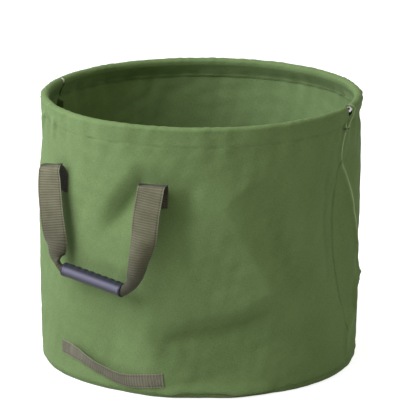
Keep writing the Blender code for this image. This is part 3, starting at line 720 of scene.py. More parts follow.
# hemLine: the plain profile of a panel from its foot, up and over the hoop and down inside to the hem's end
def hemLine():
    up = denseSteps(wallFoot, hoopHeight - hemReach, hem["rows"], hem["crowds"])
    bend = np.linspace(0.0, math.pi, hem["arc"])
    down = np.linspace(hoopHeight - hemReach / 2, bagTop - bag["hem"], hem["tail"])
    radius = [wallRadius(up), hoopRadius + hemReach * np.cos(bend)]
    inner = wallRadius(stitchHeight) - bag["inset"]
    radius.append(np.interp(-down, [-hoopHeight + hemReach / 2, -stitchHeight, 0.0],
                            [hoopRadius - hemReach, inner, inner]))
    height = [up, hoopHeight + hemReach * np.sin(bend), down]
    tilt = [np.zeros(len(up)), bend, np.full(len(down), math.pi)]
    return np.concatenate(radius), np.concatenate(height), np.concatenate(tilt)


# wallPanel: profile carried between the two side seams, where the cloth turns in to its seam allowances
def wallPanel(label, finish):
    panel = panels[label]
    radius, height, tilt = hemLine()
    inHem = tilt > 0.0
    level = np.where(inHem, hoopHeight, height)
    veer = np.where(inHem, 1.0, smoothStep((height - hoopHeight + hem["veerDrop"]) / hem["veerRun"]))
    turned = bump(height, bag["seamFoot"], seamHead, hem["seamSoft"]) * ~inHem
    edges = []
    for side, way in ((panel["first"], 1), (panel["last"], -1)):
        gap = bag[f"{side}Gap"]
        stand = bag["slit"] + bag["fold"] + (gap - bag["slit"]) * veer
        line = seamTurn(level, side) + (2 * math.pi if label == "back" and side == "left" else 0.0)
        edges.append(line + way * stand / wallRadius(level))
    shares = denseSteps(0.0, 1.0, panel["columns"], panel["crowds"])
    angle = edges[0][:, None] + (edges[1] - edges[0])[:, None] * shares
    level = np.minimum(height, hoopHeight)[:, None] + 0.0 * angle
    swell, crease = wallSwell(angle, level)
    # between the stitches and the hoop the swell fades out, apart from a slight hollow
    hold = smoothStep((level - stitchHeight) / (hoopHeight - hemReach - stitchHeight))
    held = swell * (1.0 - hold) + np.maximum(swell, -hem["hollow"]) * hold
    gather = np.abs(sag["pucker"] * hem["gather"] * puckers(angle, 22))
    # round the hoop what is left of it stands square to the hem's arc, with the cloth gathered in pleats
    tilt, inHem = tilt[:, None], inHem[:, None]
    arc = held * np.clip(np.cos(tilt), 0.0, 1.0) ** 2 + gather * inHem
    out = np.where(tilt < math.pi, arc * np.cos(tilt), swell * (1.0 - hold))
    out = np.where(inHem, out, held + footFlare(angle, level))
    lift = np.where(inHem, arc * np.sin(tilt), footLift(angle, level))
    main = turnPoint(angle, radius[:, None] + out, height[:, None] + lift)
    # beyond both side edges the cloth bends a quarter turn and runs inward as the seam allowance
    bend = np.linspace(0.0, math.pi / 2, foldSteps + 1)[1:]
    ahead = np.concatenate([np.sin(bend), np.ones(edgeSteps)]) * bag["fold"]
    flat = np.linspace(0.0, bag["fold"], foldSteps + edgeSteps + 1)[1:]
    ahead = turned[:, None] * ahead + (1 - turned[:, None]) * flat
    depth = np.linspace(bag["fold"], bag["allowance"], edgeSteps + 1)[1:]
    inward = turned[:, None] * np.concatenate([bag["fold"] * (1 - np.cos(bend)), depth])
    sides = []
    for column, way in ((0, -1), (-1, 1)):
        along, outward = (ways[:, None] for ways in waysRound(angle[:, column]))
        strip = main[:, column][:, None] + way * along * ahead[..., None] - outward * inward[..., None]
        sides.append(strip[:, ::way])
    grid = np.concatenate([sides[0], main, sides[1]], axis=1)
    crease = np.pad(crease, ((0, 0), (foldSteps + edgeSteps,) * 2), mode="edge")
    crease = crease - hem["shade"] * np.where(inHem, np.sin(np.clip(tilt, 0.0, math.pi)), 0.0)
    points, faces = closedShell(grid, grid - sheetNormals(grid) * bag["canvas"])
    marks = {"crease": np.concatenate([crease, crease])}
    mapping = bothSides(sheetMap(grid))
    piece = makePiece(f"{label}_wall_cloth", points, faces, finish, mapping, marks)
    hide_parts(f"{label}_wall_panel")
    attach(piece, "bag")


# Base, tapes, hoop and stitches

ringColumns = 260
ringAngles = np.linspace(-math.pi, math.pi, ringColumns, endpoint=False) + rad(bag["seamTurn"] - 90.0)


# insideWall: the inner face of the wall, where the base, its tape and the seams lie
def insideWall(angle, height):
    swell = wallSwell(angle, np.maximum(height, wallFoot))[0]
    return wallRadius(height) + swell - bag["canvas"] - bag["gap"]


# ringPiece: a grid of rows round the bag. Its first and last row are closed with fans if it has poles, and
# meet otherwise.
def ringPiece(name, grid, finish, poles):
    rows, columns = grid.shape[:2]
    mapping = sheetMap(grid)
    if not poles:
        faces = gridFaces(rows + 1, columns, wrap=True) % (rows * columns)
        return makePiece(name, grid, faces, finish, mapping)
    near = np.arange(columns)
    after = np.roll(near, -1)
    top = near + (rows - 1) * columns
    low, high = 0 * near + rows * columns, 0 * near + rows * columns + 1
    fans = np.concatenate([np.stack([low, after, near], axis=1), np.stack([top, top[after], high], axis=1)])
    faces = gridFaces(rows, columns, wrap=True).tolist() + fans.tolist()
    points = np.concatenate([grid.reshape(-1, 3), [grid[0].mean(axis=0), grid[-1].mean(axis=0)]])
    mapping = np.concatenate([mapping.reshape(-1, 2), [mapping[0].mean(axis=0), mapping[-1].mean(axis=0)]])
    return makePiece(name, points, faces, finish, mapping)


base = {
    "hub": 0.01, "spokes": 26, "steps": 9, "swellFrom": 0.20, "swellRun": 0.06, "floorEdge": 0.262,
    "floorRun": 0.03, "floorRise": 0.0016, "waveShare": 0.4, "waves": (0.20, 0.06),
}


# basePanel: flat underside, rounded corner, side turned up inside the wall, and the floor seen from above
def basePanel(finish):
    corner, thick = bag["corner"], bag["canvas"]
    tight = corner - thick
    bend = np.linspace(0.0, math.pi / 2, base["steps"])
    reach = wallRadius(corner) - thick - bag["gap"] - corner
    spokes = np.linspace(base["hub"], reach, base["spokes"])
    levels = np.linspace(corner, bag["flange"], base["steps"])[1:]
    side = wallRadius(levels) - thick - bag["gap"]
    radius = [spokes, reach + corner * np.sin(bend[1:]), side, side[::-1] - thick,
              reach + tight * np.sin(bend[::-1]), spokes[::-1][1:]]
    height = [0 * spokes, corner * (1 - np.cos(bend[1:])), levels, levels[::-1],
              corner - tight * np.cos(bend[::-1]), 0 * spokes[1:] + thick]
    radius, height = np.concatenate(radius)[:, None], np.concatenate(height)[:, None]
    angle = ringAngles[None, :] + 0.0 * radius
    height = height + 0.0 * angle
    swell = wallSwell(angle, np.maximum(height, wallFoot))[0]
    swell = swell * smoothStep((radius - base["swellFrom"]) / base["swellRun"])
    grid = turnPoint(angle, radius + swell, height)
    upper = (np.arange(len(radius)) >= len(radius) - len(spokes))[:, None]
    upper = upper * smoothStep((base["floorEdge"] - radius) / base["floorRun"])
    wave = ripple(grid.reshape(-1, 3), 31, *base["waves"]).reshape(angle.shape)
    grid[..., 2] += upper * base["floorRise"] * (1.0 + base["waveShare"] * wave)
    piece = ringPiece("base_cloth", grid, finish, poles=True)
    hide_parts("base_panel")
    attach(piece, "bag")
    cut = 2 * (reach + corner * math.pi / 2 + bag["flange"] - corner)
    math.pi / 4 * cut**2
    print(f"base cut {cut:.3f} across")


# baseBinding: tape folded over the raw top edge of the base's side, stepped from the side to the wall
def baseBinding(finish):
    tape, gap = bag["tape"], bag["gap"]
    low, step, top = bag["bindingLow"], bag["flange"] + gap, bag["bindingTop"]
    onSide = bag["canvas"] + gap
    profile = [(onSide + tape, low), (onSide, low), (onSide, step), (0.0, step), (0.0, top),
               (tape, top), (tape, step + onSide), (onSide + tape, step + onSide)]
    inset, height = (np.array(column)[:, None] for column in zip(*profile))
    angle = ringAngles[None, :] + 0.0 * inset
    height = height + 0.0 * angle
    grid = turnPoint(angle, insideWall(angle, height) - inset, height)
    piece = ringPiece("base_seam_tape", grid, finish, poles=False)
    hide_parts("base_seam_binding")
    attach(piece, "bag")


# seamBinding: U of tape over the two raw edges of a side seam, following the seam up the wall
def seamBinding(side, finish):
    inner = bag["slit"] + bag["canvas"] + bag["gap"]
    outer = inner + bag["tape"]
    tip = -bag["allowance"] - bag["gap"]
    mouth, end = tip + bag["bindingDepth"], tip - bag["tape"]
    depth = np.array([mouth, mouth, end, end, mouth, mouth, tip, tip])
    aside = np.array([inner, outer, outer, -outer, -outer, -inner, -inner, inner])
    height = np.linspace(bag["seamFoot"], seamHead, bag["seamRows"])
    line = seamTurn(height, side)
    grid = turnPoint(line[:, None], onWall(line, height)[:, None] + depth, height[:, None])
    grid = grid + waysRound(line)[0][:, None] * aside[:, None]
    rows, columns = grid.shape[:2]
    faces = gridFaces(rows, columns, wrap=True).tolist()
    for cap in ((0, 1, 2, 7), (7, 2, 3, 6), (6, 3, 4, 5)):
        faces.append(cap[::-1])
        faces.append(tuple((rows - 1) * columns + k for k in cap))
    piece = makePiece(f"{side}_seam_tape", grid, faces, finish, sheetMap(grid))
    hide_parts(f"{side}_seam_binding")
    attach(piece, "bag")


# rimTube: hollow round tube carried round the rim inside the hem, its two ends open at the right seam
def rimTube(finish):
    gap = bag["rightGap"] / bag["rim"]
    start = rad(bag["seamTurn"]) + gap
    stop = rad(bag["seamTurn"]) + 2 * math.pi - gap - bag["hoopRecess"] / hoopRadius
    angle = np.linspace(start, stop, bag["hoopSteps"])[:, None]
    turn = np.linspace(0.0, 2 * math.pi, bag["hoopSides"], endpoint=False)[None, :]
    walls = [turnPoint(angle, hoopRadius + size / 2 * np.cos(turn), hoopHeight - size / 2 * np.sin(turn))
             for size in (bag["hoop"], bag["bore"])]
    points, faces = closedShell(*walls, wrap=True)
    mapping = bothSides(sheetMap(walls[0])[..., ::-1])
    piece = makePiece("rim_tube", points, faces, finish, mapping)
    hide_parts("rim_hoop")
    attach(piece, "bag")


# As shares of a thread's thickness, "end" is the thickness of its ends, "sink" how deep they dip and "proud"
# how far it stands out of the cloth. "stand" keeps a sewn end's threads off its ribs.
stitch = {
    "pitch": 0.0034, "length": 0.0027, "thread": 0.0009, "sides": 6, "end": 0.35, "sink": 0.125,
    "proud": 0.22, "seamClear": 0.0035, "baseRise": 0.0025, "stand": 0.0001, "boxInset": 0.010,
    "twist": 0.0007, "fuzz": 900.0,
}
tack = {"threads": 17, "half": 0.0055, "length": 0.0026, "stagger": 0.0002, "stand": 0.0004}


# stitchRow: one small rounded thread, repeated at each place along its own direction and stood on its face
def stitchRow(name, places, ways, outs, finish, length=stitch["length"]):
    half, radius, sides = length / 2, stitch["thread"] / 2, stitch["sides"]
    turn = np.linspace(0.0, 2 * math.pi, sides, endpoint=False)
    run = np.array([-half, -half + radius, half - radius, half])[:, None]
    spread = radius * np.array([stitch["end"], 1.0, 1.0, stitch["end"]])[:, None]
    shape = np.stack([run + 0 * turn, spread * np.cos(turn), spread * np.sin(turn)], axis=-1).reshape(-1, 3)
    shape[:, 2] -= stitch["sink"] * stitch["thread"] * (np.abs(shape[:, 0]) > half - radius / 2)
    asides = np.cross(outs, ways)
    points = sum(shape[None, :, k:k + 1] * part[:, None] for k, part in enumerate((ways, asides, outs)))
    one = gridFaces(len(run), sides, wrap=True).tolist()
    one += [tuple(range(sides))[::-1], tuple(range(len(shape) - sides, len(shape)))]
    faces = [tuple(k * len(shape) + i for i in face) for k in range(len(places)) for face in one]
    around = np.arctan2(shape[:, 2], shape[:, 1]) * radius
    mapping = np.tile(np.stack([shape[:, 0], around], axis=-1), (len(places), 1))
    return makePiece(name, places[:, None] + points, faces, finish, mapping)


# stitchRing: stitches round the wall at one height, leaving the side seams clear; a ring inside shares its
# needle holes
def stitchRing(name, height, finish, inset=None):
    count = int(2 * math.pi * bag["rim"] / stitch["pitch"])
    angle = np.arange(count) * 2 * math.pi / count
    clear = np.ones(count, bool)
    for side in ("right", "left"):
        line = float(seamTurn(np.array(height), side))
        away = np.abs((angle - line + math.pi) % (2 * math.pi) - math.pi)
        clear &= away > stitch["seamClear"] / bag["rim"]
    angle = angle[clear]
    level = np.full(len(angle), height)
    proud = stitch["thread"] * stitch["proud"]
    radius = onWall(angle, level) + footFlare(angle, level) + proud
    along, out = waysRound(angle)
    places, ways, outs = [turnPoint(angle, radius, level + footLift(angle, level))], [along], [out]
    if inset:
        places.append(turnPoint(angle, radius - inset - 2 * proud, level))
        ways.append(along)
        outs.append(-out)
    places, ways, outs = (np.concatenate(part) for part in (places, ways, outs))
    piece = stitchRow(name + "_thread", places, ways, outs, finish)
    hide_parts(name)
    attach(piece, "bag")


# bartack: upright threads packed side by side across a seam
def bartack(side, finish):
    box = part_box(f"{side}_seam_bartack")
    middle = (box[0].z + box[1].z) / 2
    line = float(seamTurn(np.array(middle), side))
    count = tack["threads"]
    angle = line + np.linspace(-tack["half"], tack["half"], count) / bag["rim"]
    level = middle + tack["stagger"] * np.cos(np.arange(count) * math.pi)
    out = waysRound(angle)[1]
    up = np.tile([0.0, 0.0, 1.0], (count, 1))
    places = turnPoint(angle, onWall(angle, level) + tack["stand"], level)
    piece = stitchRow(f"{side}_seam_threads", places, up, out, finish, tack["length"])
    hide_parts(f"{side}_seam_bartack")
    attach(piece, "bag")


# seamBox: stitch places round a rectangle and across both its diagonals, as (across, up) with directions
def seamBox(wide, tall):
    corners = np.array([(-wide, -tall), (wide, -tall), (wide, tall), (-wide, tall)]) / 2
    lines = [(corners[k], corners[(k + 1) % 4]) for k in range(4)]
    lines += [(corners[0], corners[2]), (corners[1], corners[3])]
    spots, ways = [], []
    for first, last in lines:
        length = float(np.linalg.norm(last - first))
        count = max(2, round(length / stitch["pitch"]))
        share = (np.arange(count) + 0.5) / count
        spots.append(first + (last - first) * share[:, None])
        ways.append(np.tile((last - first) / length, (count, 1)))
    return np.concatenate(spots), np.concatenate(ways)


# webbingShell: webbing about its middle sheet, thinner at its edges, with a cosine rib at each pitch
def webbingShell(middle, aside, runs, size):
    edge = (np.abs(aside) / (size["width"] / 2) - size["edgeFrom"]) / (1 - size["edgeFrom"])
    half = size["thick"] / 2 * (1 - ribs["edgeThin"] * smoothStep(edge))
    half = half + ribs["height"] * np.cos(2 * math.pi * runs / ribs["pitch"])[:, None]
    face = sheetNormals(middle) * half[..., None]
    points, faces = closedShell(middle + face, middle - face)
    mapping = np.stack(np.broadcast_arrays(size["width"] / 2 - aside, runs[:, None]), axis=-1)
    return points, faces, bothSides(mapping)


# Carry handles

strap = {
    "width": 0.050, "thick": 0.0016, "tabFoot": 0.3345, "tabTop": 0.3570, "crestOut": 0.2750,
    "rollTurn": 76.0, "darkTurn": 62.0, "step": 0.00056, "columns": 17, "edgeFrom": 0.93,
    "tabRows": 8, "risingRows": 16, "rolledRows": 14, "hangingRows": 150, "insideRows": 12,
    "soft": (5, 12, 4), "leastCurl": 0.0015, "press": 0.7, "seatLow": 0.003, "seatRun": 0.010,
    "duskNear": 0.015, "duskRun": 0.150, "boxTall": 0.017, "boxFoot": 0.0115,
}
grip = {
    "centre": (0.0, -0.303632, 0.2018), "tilt": 7.0, "length": 0.128, "radius": 0.0114, "bore": 0.0098,
    "collar": 0.0006, "collarRun": 0.007, "collarEase": 0.0012, "lip": 0.0009, "lipRun": 0.0012,
    "ribs": 8, "ribHeight": 0.0012, "ribSide": 60.0, "ribShare": 0.8, "ribFall": 1.2, "ribEase": 0.002,
    "rows": 150, "sides": 64, "lipRows": 5, "collarRows": 8, "liner": 0.0086, "mouthRun": 0.003,
    "sheenPlace": 6.03, "sheenReach": 0.72, "endRing": 0.0036, "pebble": 900.0, "sheenMottle": 60.0,
}
# Each leg: the degrees at which it is sewn, its crest as (across, height, turn, tilt), how much painted
# shade darkens it near the grip (dusk), along its whole run (tone) and on its inner face where it is sewn,
# and its middle line from the rolled top to the grip as (across, out, height, turn, tilt, curl). Turn and
# tilt in degrees set its width's direction, and curl is how far its edges are bent back towards a tube.
legs = {
    "left": {"spread": 21.8, "crest": (-0.1116, 0.3812, -12.0, 10.0), "dusk": 0.70, "tone": 0.0,
             "sewn": 0.90, "route": [
        (-0.1106, 0.2852, 0.3702, -6.0, 7.0, 0.00), (-0.1083, 0.2872, 0.3540, -1.0, 4.0, 0.00),
        (-0.1060, 0.2893, 0.3370, 1.0, 2.0, 0.00), (-0.1030, 0.2913, 0.3200, 1.0, 0.0, 0.00),
        (-0.0995, 0.2934, 0.3030, 1.0, 0.0, 0.00), (-0.0958, 0.2956, 0.2860, 1.0, 0.0, 0.02),
        (-0.0921, 0.2980, 0.2690, 0.0, 0.0, 0.08), (-0.0895, 0.3002, 0.2540, -1.0, 0.0, 0.20),
        (-0.0893, 0.3025, 0.2440, -3.0, 0.0, 0.34), (-0.0896, 0.3048, 0.2345, -7.0, 0.0, 0.50),
        (-0.0882, 0.3062, 0.2260, -18.0, 0.0, 0.80), (-0.0835, 0.3063, 0.2180, -38.0, 0.0, 1.35),
        (-0.0765, 0.3055, 0.2115, -62.0, 0.0, 1.55), (-0.0700, 0.3042, 0.2050, -80.0, 0.0, 1.30)]},
    "right": {"spread": 20.4, "crest": (0.1060, 0.3778, 11.0, 2.6), "dusk": 0.88, "tone": 0.20,
              "sewn": 0.72, "route": [
        (0.1078, 0.2852, 0.3690, 10.0, 1.0, 0.00), (0.1067, 0.2880, 0.3545, 9.0, 0.0, 0.00),
        (0.1056, 0.2919, 0.3372, 10.0, 0.0, 0.00), (0.1046, 0.2957, 0.3199, 10.0, 0.0, 0.05),
        (0.1038, 0.2990, 0.3026, 11.0, 0.0, 0.12), (0.1025, 0.3025, 0.2854, 14.0, 0.0, 0.24),
        (0.1010, 0.3050, 0.2690, 25.0, 0.0, 0.40), (0.1008, 0.3068, 0.2530, 36.0, 0.0, 0.48),
        (0.1007, 0.3073, 0.2390, 47.0, 0.0, 0.53), (0.1000, 0.3072, 0.2275, 56.0, 0.0, 0.57),
        (0.0980, 0.3062, 0.2170, 66.0, 0.0, 0.64), (0.0935, 0.3050, 0.2080, 76.0, 0.0, 0.80),
        (0.0855, 0.3040, 0.1990, 84.0, 0.0, 0.95), (0.0750, 0.3036, 0.1910, 90.0, 0.0, 1.00)]},
}


# gripAxis: (cos tilt, 0, -sin tilt)
def gripAxis():
    tilt = rad(grip["tilt"])
    return np.array([math.cos(tilt), 0.0, -math.sin(tilt)])


# widthWays: (cos turn cos tilt, sin turn cos tilt, sin tilt) from turn and tilt in degrees
def widthWays(turn, tilt):
    turn, tilt = np.radians(turn), np.radians(tilt)
    return np.stack([np.cos(turn) * np.cos(tilt), np.sin(turn) * np.cos(tilt), np.sin(tilt)], axis=-1)


# strapRows: points with the same turn, tilt, curl and shade beside each
def strapRows(points, marks):
    return np.column_stack([points, np.tile(marks, (len(points), 1))])


# strapHalf: middle line of one half, from its sewn end up the wall, over the roll, down the leg and into the
# grip. Rows are (x, y, z, turn, tilt, curl, shade); the run up to the grip's mouth comes with them.
def strapHalf(side):
    way = -1.0 if side == "left" else 1.0
    leg = legs[side]
    spread = way * leg["spread"]
    heights = np.linspace(strap["tabFoot"], strap["tabTop"], strap["tabRows"])
    radius = onWall(rad(spread), heights) + bag["gap"] + strap["thick"] / 2
    sewn = strapRows(turnPoint(rad(spread), radius, heights), [spread, 0.0, 0.0, 1.0])
    across, level, turn, tilt = leg["crest"]
    crest = np.array([across, -strap["crestOut"], level, turn, tilt, 0.0, 1.0])
    bend = np.linspace(0.0, math.pi / 2, strap["risingRows"])[1:, None]
    rising = sewn[-1] + (crest - sewn[-1]) * (1 - np.cos(bend))
    rising[:, 2:3] = sewn[-1, 2] + (crest[2] - sewn[-1, 2]) * np.sin(bend)
    route = np.array([(x, -y, z, turn, tilt, curl, 0.0) for x, y, z, turn, tilt, curl in leg["route"]])
    last = rad(strap["rollTurn"])
    bend = np.linspace(0.0, last, strap["rolledRows"])[1:-1, None]
    rolled = crest + (route[0] - crest) * np.sin(bend) / math.sin(last)
    rolled[:, 2:3] = crest[2] + (route[0, 2] - crest[2]) * (1 - np.cos(bend)) / (1 - math.cos(last))
    # the outer face is marked darker over the top of the roll, easing off by darkTurn
    rolled[:, 6:] = 1 - smoothStep(bend / rad(strap["darkTurn"]))
    axis = gripAxis()
    below = np.array([axis[2], 0.0, -axis[0]])
    spine = np.array(grip["centre"]) + below * grip["liner"]
    ends = np.array([way * 90.0, 0.0, 1.0, 0.0])
    mouth = np.concatenate([spine + way * axis * (grip["length"] / 2 + grip["mouthRun"]), ends])
    hanging = throughPoints(np.vstack([route, mouth]), np.linspace(0.0, 1.0, strap["hangingRows"]))
    inside = spine + way * axis * np.linspace(grip["length"] / 2, 0.0, strap["insideRows"])[:, None]
    rows = np.vstack([sewn, rising, rolled, hanging, strapRows(inside, ends)])
    return rows, runAlong(rows[:, :3])[-len(inside) - 1]


# smoothRows: running average along the strap, ends kept
def smoothRows(rows, reach):
    kernel = np.hanning(2 * reach + 3)[1:-1]
    kernel /= kernel.sum()
    wide = np.concatenate([np.repeat(rows[:1], reach, axis=0), rows, np.repeat(rows[-1:], reach, axis=0)])
    return np.stack([np.convolve(column, kernel, "valid") for column in wide.T], axis=1)


# carryStrap: ribbed webbing carried along its middle line. Its edges curl back where it gathers into the
# grip: a strip bent to radius q has its points at (q sin(s/q), q cos(s/q) - q) across and behind.
def carryStrap(label, finish):
    left, leftMouth = strapHalf("left")
    right, rightMouth = strapHalf("right")
    right = right[-2::-1]
    rows = np.concatenate([left, right])
    ways = np.concatenate([widthWays(left[:, 3], left[:, 4]), -widthWays(right[:, 3], right[:, 4])])
    keep = np.concatenate([[True], np.linalg.norm(np.diff(rows[:, :3], axis=0), axis=1) > 1e-6])
    runs, path, ways, marks = evenSteps(rows[keep, :3], strap["step"], ways[keep], rows[keep, 5:])
    path, ways, marks = (smoothRows(*pair) for pair in zip((path, ways, marks), strap["soft"]))
    back = runs[-1] - runs
    leftSide = runs < back
    dusk = np.where(leftSide, legs["left"]["tone"], legs["right"]["tone"])
    for side, mouth, run in (("left", leftMouth, runs), ("right", rightMouth, back)):
        near = smoothStep(1.0 - (np.abs(mouth - run) - strap["duskNear"]) / strap["duskRun"])
        dusk = np.maximum(dusk, legs[side]["dusk"] * near)
    along = unit(np.gradient(path, axis=0))
    wide = unit(ways - along * (ways * along).sum(axis=1, keepdims=True))
    out = np.cross(along, wide)
    # a curl past 1 presses the strip flat again behind the spine
    q = grip["liner"] / np.clip(marks[:, :1], strap["leastCurl"], 1.0)
    press = np.clip(marks[:, :1] - 1.0, 0.0, strap["press"])
    aside = np.linspace(strap["width"] / 2, -strap["width"] / 2, strap["columns"])[None, :]
    reachAside = q * np.sin(aside / q)
    behind = q * (1 - np.cos(aside / q)) * (1.0 - press)
    middle = path[:, None] + wide[:, None] * reachAside[..., None] - out[:, None] * behind[..., None]
    # the sewn ends lie on the wall, and nowhere does the strap pass into it
    tab = np.minimum(runs, back)[:, None] - (strap["tabTop"] - strap["tabFoot"])
    seat = 1.0 - smoothStep((tab + strap["seatLow"]) / strap["seatRun"])
    turn = np.arctan2(middle[..., 0], -middle[..., 1])
    around = turn + (math.pi if label == "back" else 0.0)
    wall = onWall(around, middle[..., 2]) + bag["gap"] + strap["thick"] / 2
    away = np.hypot(middle[..., 0], middle[..., 1])
    away = np.maximum(away + (wall - away) * seat, wall)
    points, faces, mapping = webbingShell(turnPoint(turn, away, middle[..., 2]), aside, runs, strap)
    way = -1.0 if label == "back" else 1.0
    # painted shade: it darkens the outer face towards the grip and along the right leg, and takes the inner
    # face, seen inside the loop and on the sewn ends, towards the deep colour, a little less where it is
    # sewn
    sewn = np.where(leftSide, legs["left"]["sewn"], legs["right"]["sewn"])[:, None]
    outside = np.maximum(marks[:, 1], dusk)[:, None]
    shade = np.concatenate([side + 0.0 * aside for side in (outside, 1.0 + (sewn - 1.0) * seat)])
    piece = makePiece(f"{label}_carry_strap", points * [way, way, 1.0], faces, finish, mapping,
                      {"shade": shade})
    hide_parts(f"{label}_handle_left_end", f"{label}_handle_right_end", f"{label}_handle_webbing")
    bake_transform(piece)


# tubeGrip: rounded collars at both ends and cosine finger ribs that swell on its upper back side
def tubeGrip(label, finish):
    half, lip = grip["length"] / 2, grip["lip"]
    span = grip["length"] - 2 * grip["collarRun"]
    rim = -half + lip * (1 - np.cos(np.linspace(0, math.pi / 2, grip["lipRows"])))
    rim = np.concatenate([rim, np.linspace(-half + grip["lipRun"], -span / 2, grip["collarRows"])])
    x = np.concatenate([rim, np.linspace(-span / 2, span / 2, grip["rows"])[1:-1], -rim[::-1]])[:, None]
    t = np.linspace(math.pi, 3 * math.pi, grip["sides"], endpoint=False)[None, :]
    wave = (0.5 - 0.5 * np.cos(2 * math.pi * grip["ribs"] * (x / span + 0.5))) ** grip["ribShare"]
    back = np.clip(np.cos(t + math.pi - rad(grip["ribSide"])), 0.0, 1.0) ** grip["ribFall"]
    ribbed = bump(x, -span / 2 + grip["ribEase"], span / 2 - grip["ribEase"], grip["ribEase"])
    collar = grip["collar"] * (1.0 - bump(x, -span / 2, span / 2, grip["collarEase"]))
    rounded = lip - np.sqrt(np.clip(lip**2 - np.clip(np.abs(x) - half + lip, 0, lip) ** 2, 0, None))
    radius = grip["radius"] + collar + grip["ribHeight"] * wave * back * ribbed - rounded
    tilt = rad(grip["tilt"])
    way = -1.0 if label == "back" else 1.0
    walls = []
    for size in (radius, grip["bore"] + 0.0 * radius):
        y, z = -size * np.cos(t), -size * np.sin(t)
        across, up = x * math.cos(tilt) + z * math.sin(tilt), z * math.cos(tilt) - x * math.sin(tilt)
        walls.append((np.stack([across, y, up], axis=-1) + np.array(grip["centre"])) * [way, way, 1.0])
    points, faces = closedShell(*walls, wrap=True)
    mapping = bothSides(np.stack(np.broadcast_arrays(t * grip["radius"], x), axis=-1))
    piece = makePiece(f"{label}_tube_grip", points, faces, finish, mapping)
    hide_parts(f"{label}_grip")
    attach(piece, f"{label}_handle_grip")


# handleStitch: the box and cross that hold one sewn end, following the wall under the strap
def handleStitch(label, side, finish):
    way = -1.0 if side == "left" else 1.0
    spots, ways = seamBox(strap["width"] - stitch["boxInset"], strap["boxTall"])
    height = strap["tabFoot"] + strap["boxFoot"] + spots[:, 1]
    angle = way * rad(legs[side]["spread"]) + spots[:, 0] / bag["rim"]
    angle = angle + (math.pi if label == "back" else 0.0)
    stand = bag["gap"] + strap["thick"] + ribs["height"] + stitch["stand"]
    along, out = waysRound(angle)
    places = turnPoint(angle, onWall(angle, height) + stand, height)
    runs = along * ways[:, :1] + np.array([0.0, 0.0, 1.0]) * ways[:, 1:]
    piece = stitchRow(f"{label}_{side}_end_threads", places, runs, out, finish)
    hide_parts(f"{label}_handle_{side}_stitch")
    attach(piece, "bag")


# Base handle

lowStrap = {
    "turns": (-22.0, -11.0, 0.0, 10.0, 23.7), "heights": (0.0555, 0.0505, 0.0365, 0.0255, 0.0325),
    "width": 0.025, "thick": 0.0014, "bow": 0.0022, "lean": 28.0, "end": 0.028, "easeRun": 0.040,
    "rows": 210, "columns": 11, "edgeFrom": 0.86, "slopeStep": 0.002, "waySteps": (0.001, -0.001),
}


# lowCourse: angle and height of the strap's middle line
def lowCourse(share):
    knots = np.stack([np.radians(lowStrap["turns"]), lowStrap["heights"]], axis=1)
    return throughPoints(knots, share)


lowTrace = lowCourse(np.linspace(0.0, 1.0, 200))
lowLength = float(np.hypot(np.diff(lowTrace[:, 0]) * bag["foot"], np.diff(lowTrace[:, 1])).sum())
endShare = lowStrap["end"] / lowLength


# lowPoint: a place on the strap from its share of the length and how far up across it; its free middle bows
# off the wall, and its upper edge leans out further
def lowPoint(share, aside, stand=0.0):
    shape = np.broadcast(share, aside).shape
    share = np.broadcast_to(share, shape).ravel()
    aside = np.broadcast_to(aside, shape).ravel()
    lift = np.sin(math.pi * np.clip((share - endShare) / (1 - 2 * endShare), 0.0, 1.0))
    lean = rad(lowStrap["lean"]) * lift
    up = aside + lowStrap["width"] / 2
    off = bag["gap"] + lowStrap["thick"] / 2 + lowStrap["bow"] * lift + stand + up * np.sin(lean)
    aside = up * np.cos(lean) - lowStrap["width"] / 2
    spot = lowCourse(share)
    step = lowStrap["slopeStep"]
    slope = lowCourse(np.minimum(share + step, 1.0)) - lowCourse(np.maximum(share - step, 0.0))
    radius = wallRadius(spot[:, 1])
    run, rise = slope[:, 0] * radius, slope[:, 1]
    length = np.hypot(run, rise)
    angle = spot[:, 0] - aside * rise / length / radius
    height = spot[:, 1] + aside * run / length
    return turnPoint(angle, onWall(angle, height) + off, height).reshape(*shape, 3)


# lowStrapHalf: half of the strap, sewn at its outer end and free towards the middle
def lowStrapHalf(side, finish):
    share = np.linspace(0.0, 0.5, lowStrap["rows"]) + (0.5 if side == "right" else 0.0)
    aside = np.linspace(lowStrap["width"] / 2, -lowStrap["width"] / 2, lowStrap["columns"])[None, :]
    middle = lowPoint(share[:, None], aside)
    points, faces, mapping = webbingShell(middle, aside, share * lowLength, lowStrap)
    piece = makePiece(f"base_strap_{side}", points, faces, finish, mapping)
    shares = (endShare, endShare + lowStrap["easeRun"] / lowLength)
    shares = shares if side == "left" else (1.0 - each for each in shares)
    start, end = (tuple(lowPoint(np.array(each), np.array(0.0))) for each in shares)
    nodes = [f"base_handle_{side}_end"] + (["base_handle_webbing"] if side == "left" else [])
    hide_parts(*nodes)
    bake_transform(piece)


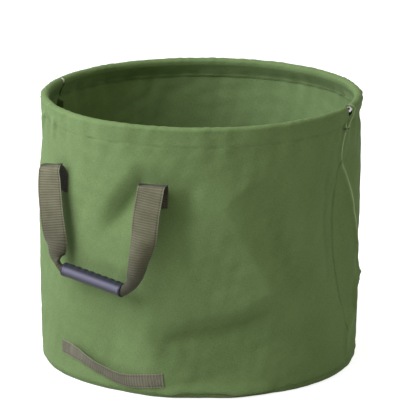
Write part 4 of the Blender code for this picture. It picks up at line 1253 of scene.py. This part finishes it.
# lowStitch: the box and cross that hold one end of the base strap
def lowStitch(side, finish):
    share = endShare / 2 if side == "left" else 1.0 - endShare / 2
    spots, ways = seamBox(lowStrap["end"] - stitch["boxInset"], lowStrap["width"] - stitch["boxInset"])
    across, up = spots.T
    stand = lowStrap["thick"] / 2 + ribs["height"] + stitch["stand"]
    places = lowPoint(share + across / lowLength, up, stand)
    ahead, behind = (lowPoint(share + (across + step) / lowLength, up) for step in lowStrap["waySteps"])
    along = unit(ahead - behind)
    out = unit(places * [1.0, 1.0, 0.0])
    runs = unit(along * ways[:, :1] + np.cross(out, along) * ways[:, 1:])
    piece = stitchRow(f"base_{side}_end_threads", places, runs, out, finish)
    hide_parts(f"base_handle_{side}_stitch")
    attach(piece, "bag")


addCamera()
addLight("key")
addLight("side")
addSky()
addFloor()
print("stage ready")

finishes = {
    "canvas": wovenFinish("greenCanvas", (0.102, 0.156, 0.050), (0.166, 0.246, 0.088), (0.34, 0.42, 0.22)),
    "tape": wovenFinish("bindingTape", (0.074, 0.118, 0.034), (0.118, 0.178, 0.056)),
    "hoop": tubeFinish(),
    "thread": threadFinish("greenThread", (0.086, 0.134, 0.040), (0.150, 0.226, 0.074)),
    "darkThread": threadFinish("darkThread", (0.035, 0.036, 0.022), (0.075, 0.076, 0.048)),
    "baseThread": threadFinish("baseThread", (0.080, 0.079, 0.046), (0.150, 0.147, 0.092)),
    "webbing": ribbedFinish("ribbedWebbing", (0.065, 0.063, 0.030), (0.203, 0.200, 0.113),
                            (0.026, 0.026, 0.017), strap["width"]),
    "baseWebbing": ribbedFinish("baseWebbing", (0.088, 0.087, 0.050), (0.204, 0.200, 0.126),
                                (0.020, 0.021, 0.013), lowStrap["width"]),
    "grip": gripFinish(),
}
for label in ("front", "back"):
    wallPanel(label, finishes["canvas"])
print("wall panels sewn")
basePanel(finishes["canvas"])
baseBinding(finishes["tape"])
rimTube(finishes["hoop"])
for side in ("left", "right"):
    seamBinding(side, finishes["tape"])
    bartack(side, finishes["darkThread"])
stitchRing("hem_stitching", stitchHeight, finishes["thread"], inset=bag["inset"] + bag["canvas"])
stitchRing("base_stitching", wallFoot + stitch["baseRise"], finishes["thread"])
print("base, hoop, tapes and stitches in place")
for label in ("front", "back"):
    carryStrap(label, finishes["webbing"])
    tubeGrip(label, finishes["grip"])
    for side in ("left", "right"):
        handleStitch(label, side, finishes["darkThread"])
for side in ("left", "right"):
    lowStrapHalf(side, finishes["baseWebbing"])
    lowStitch(side, finishes["baseThread"])
print("handles in place")

scene = bpy.context.scene
scene.view_settings.view_transform = "Standard"
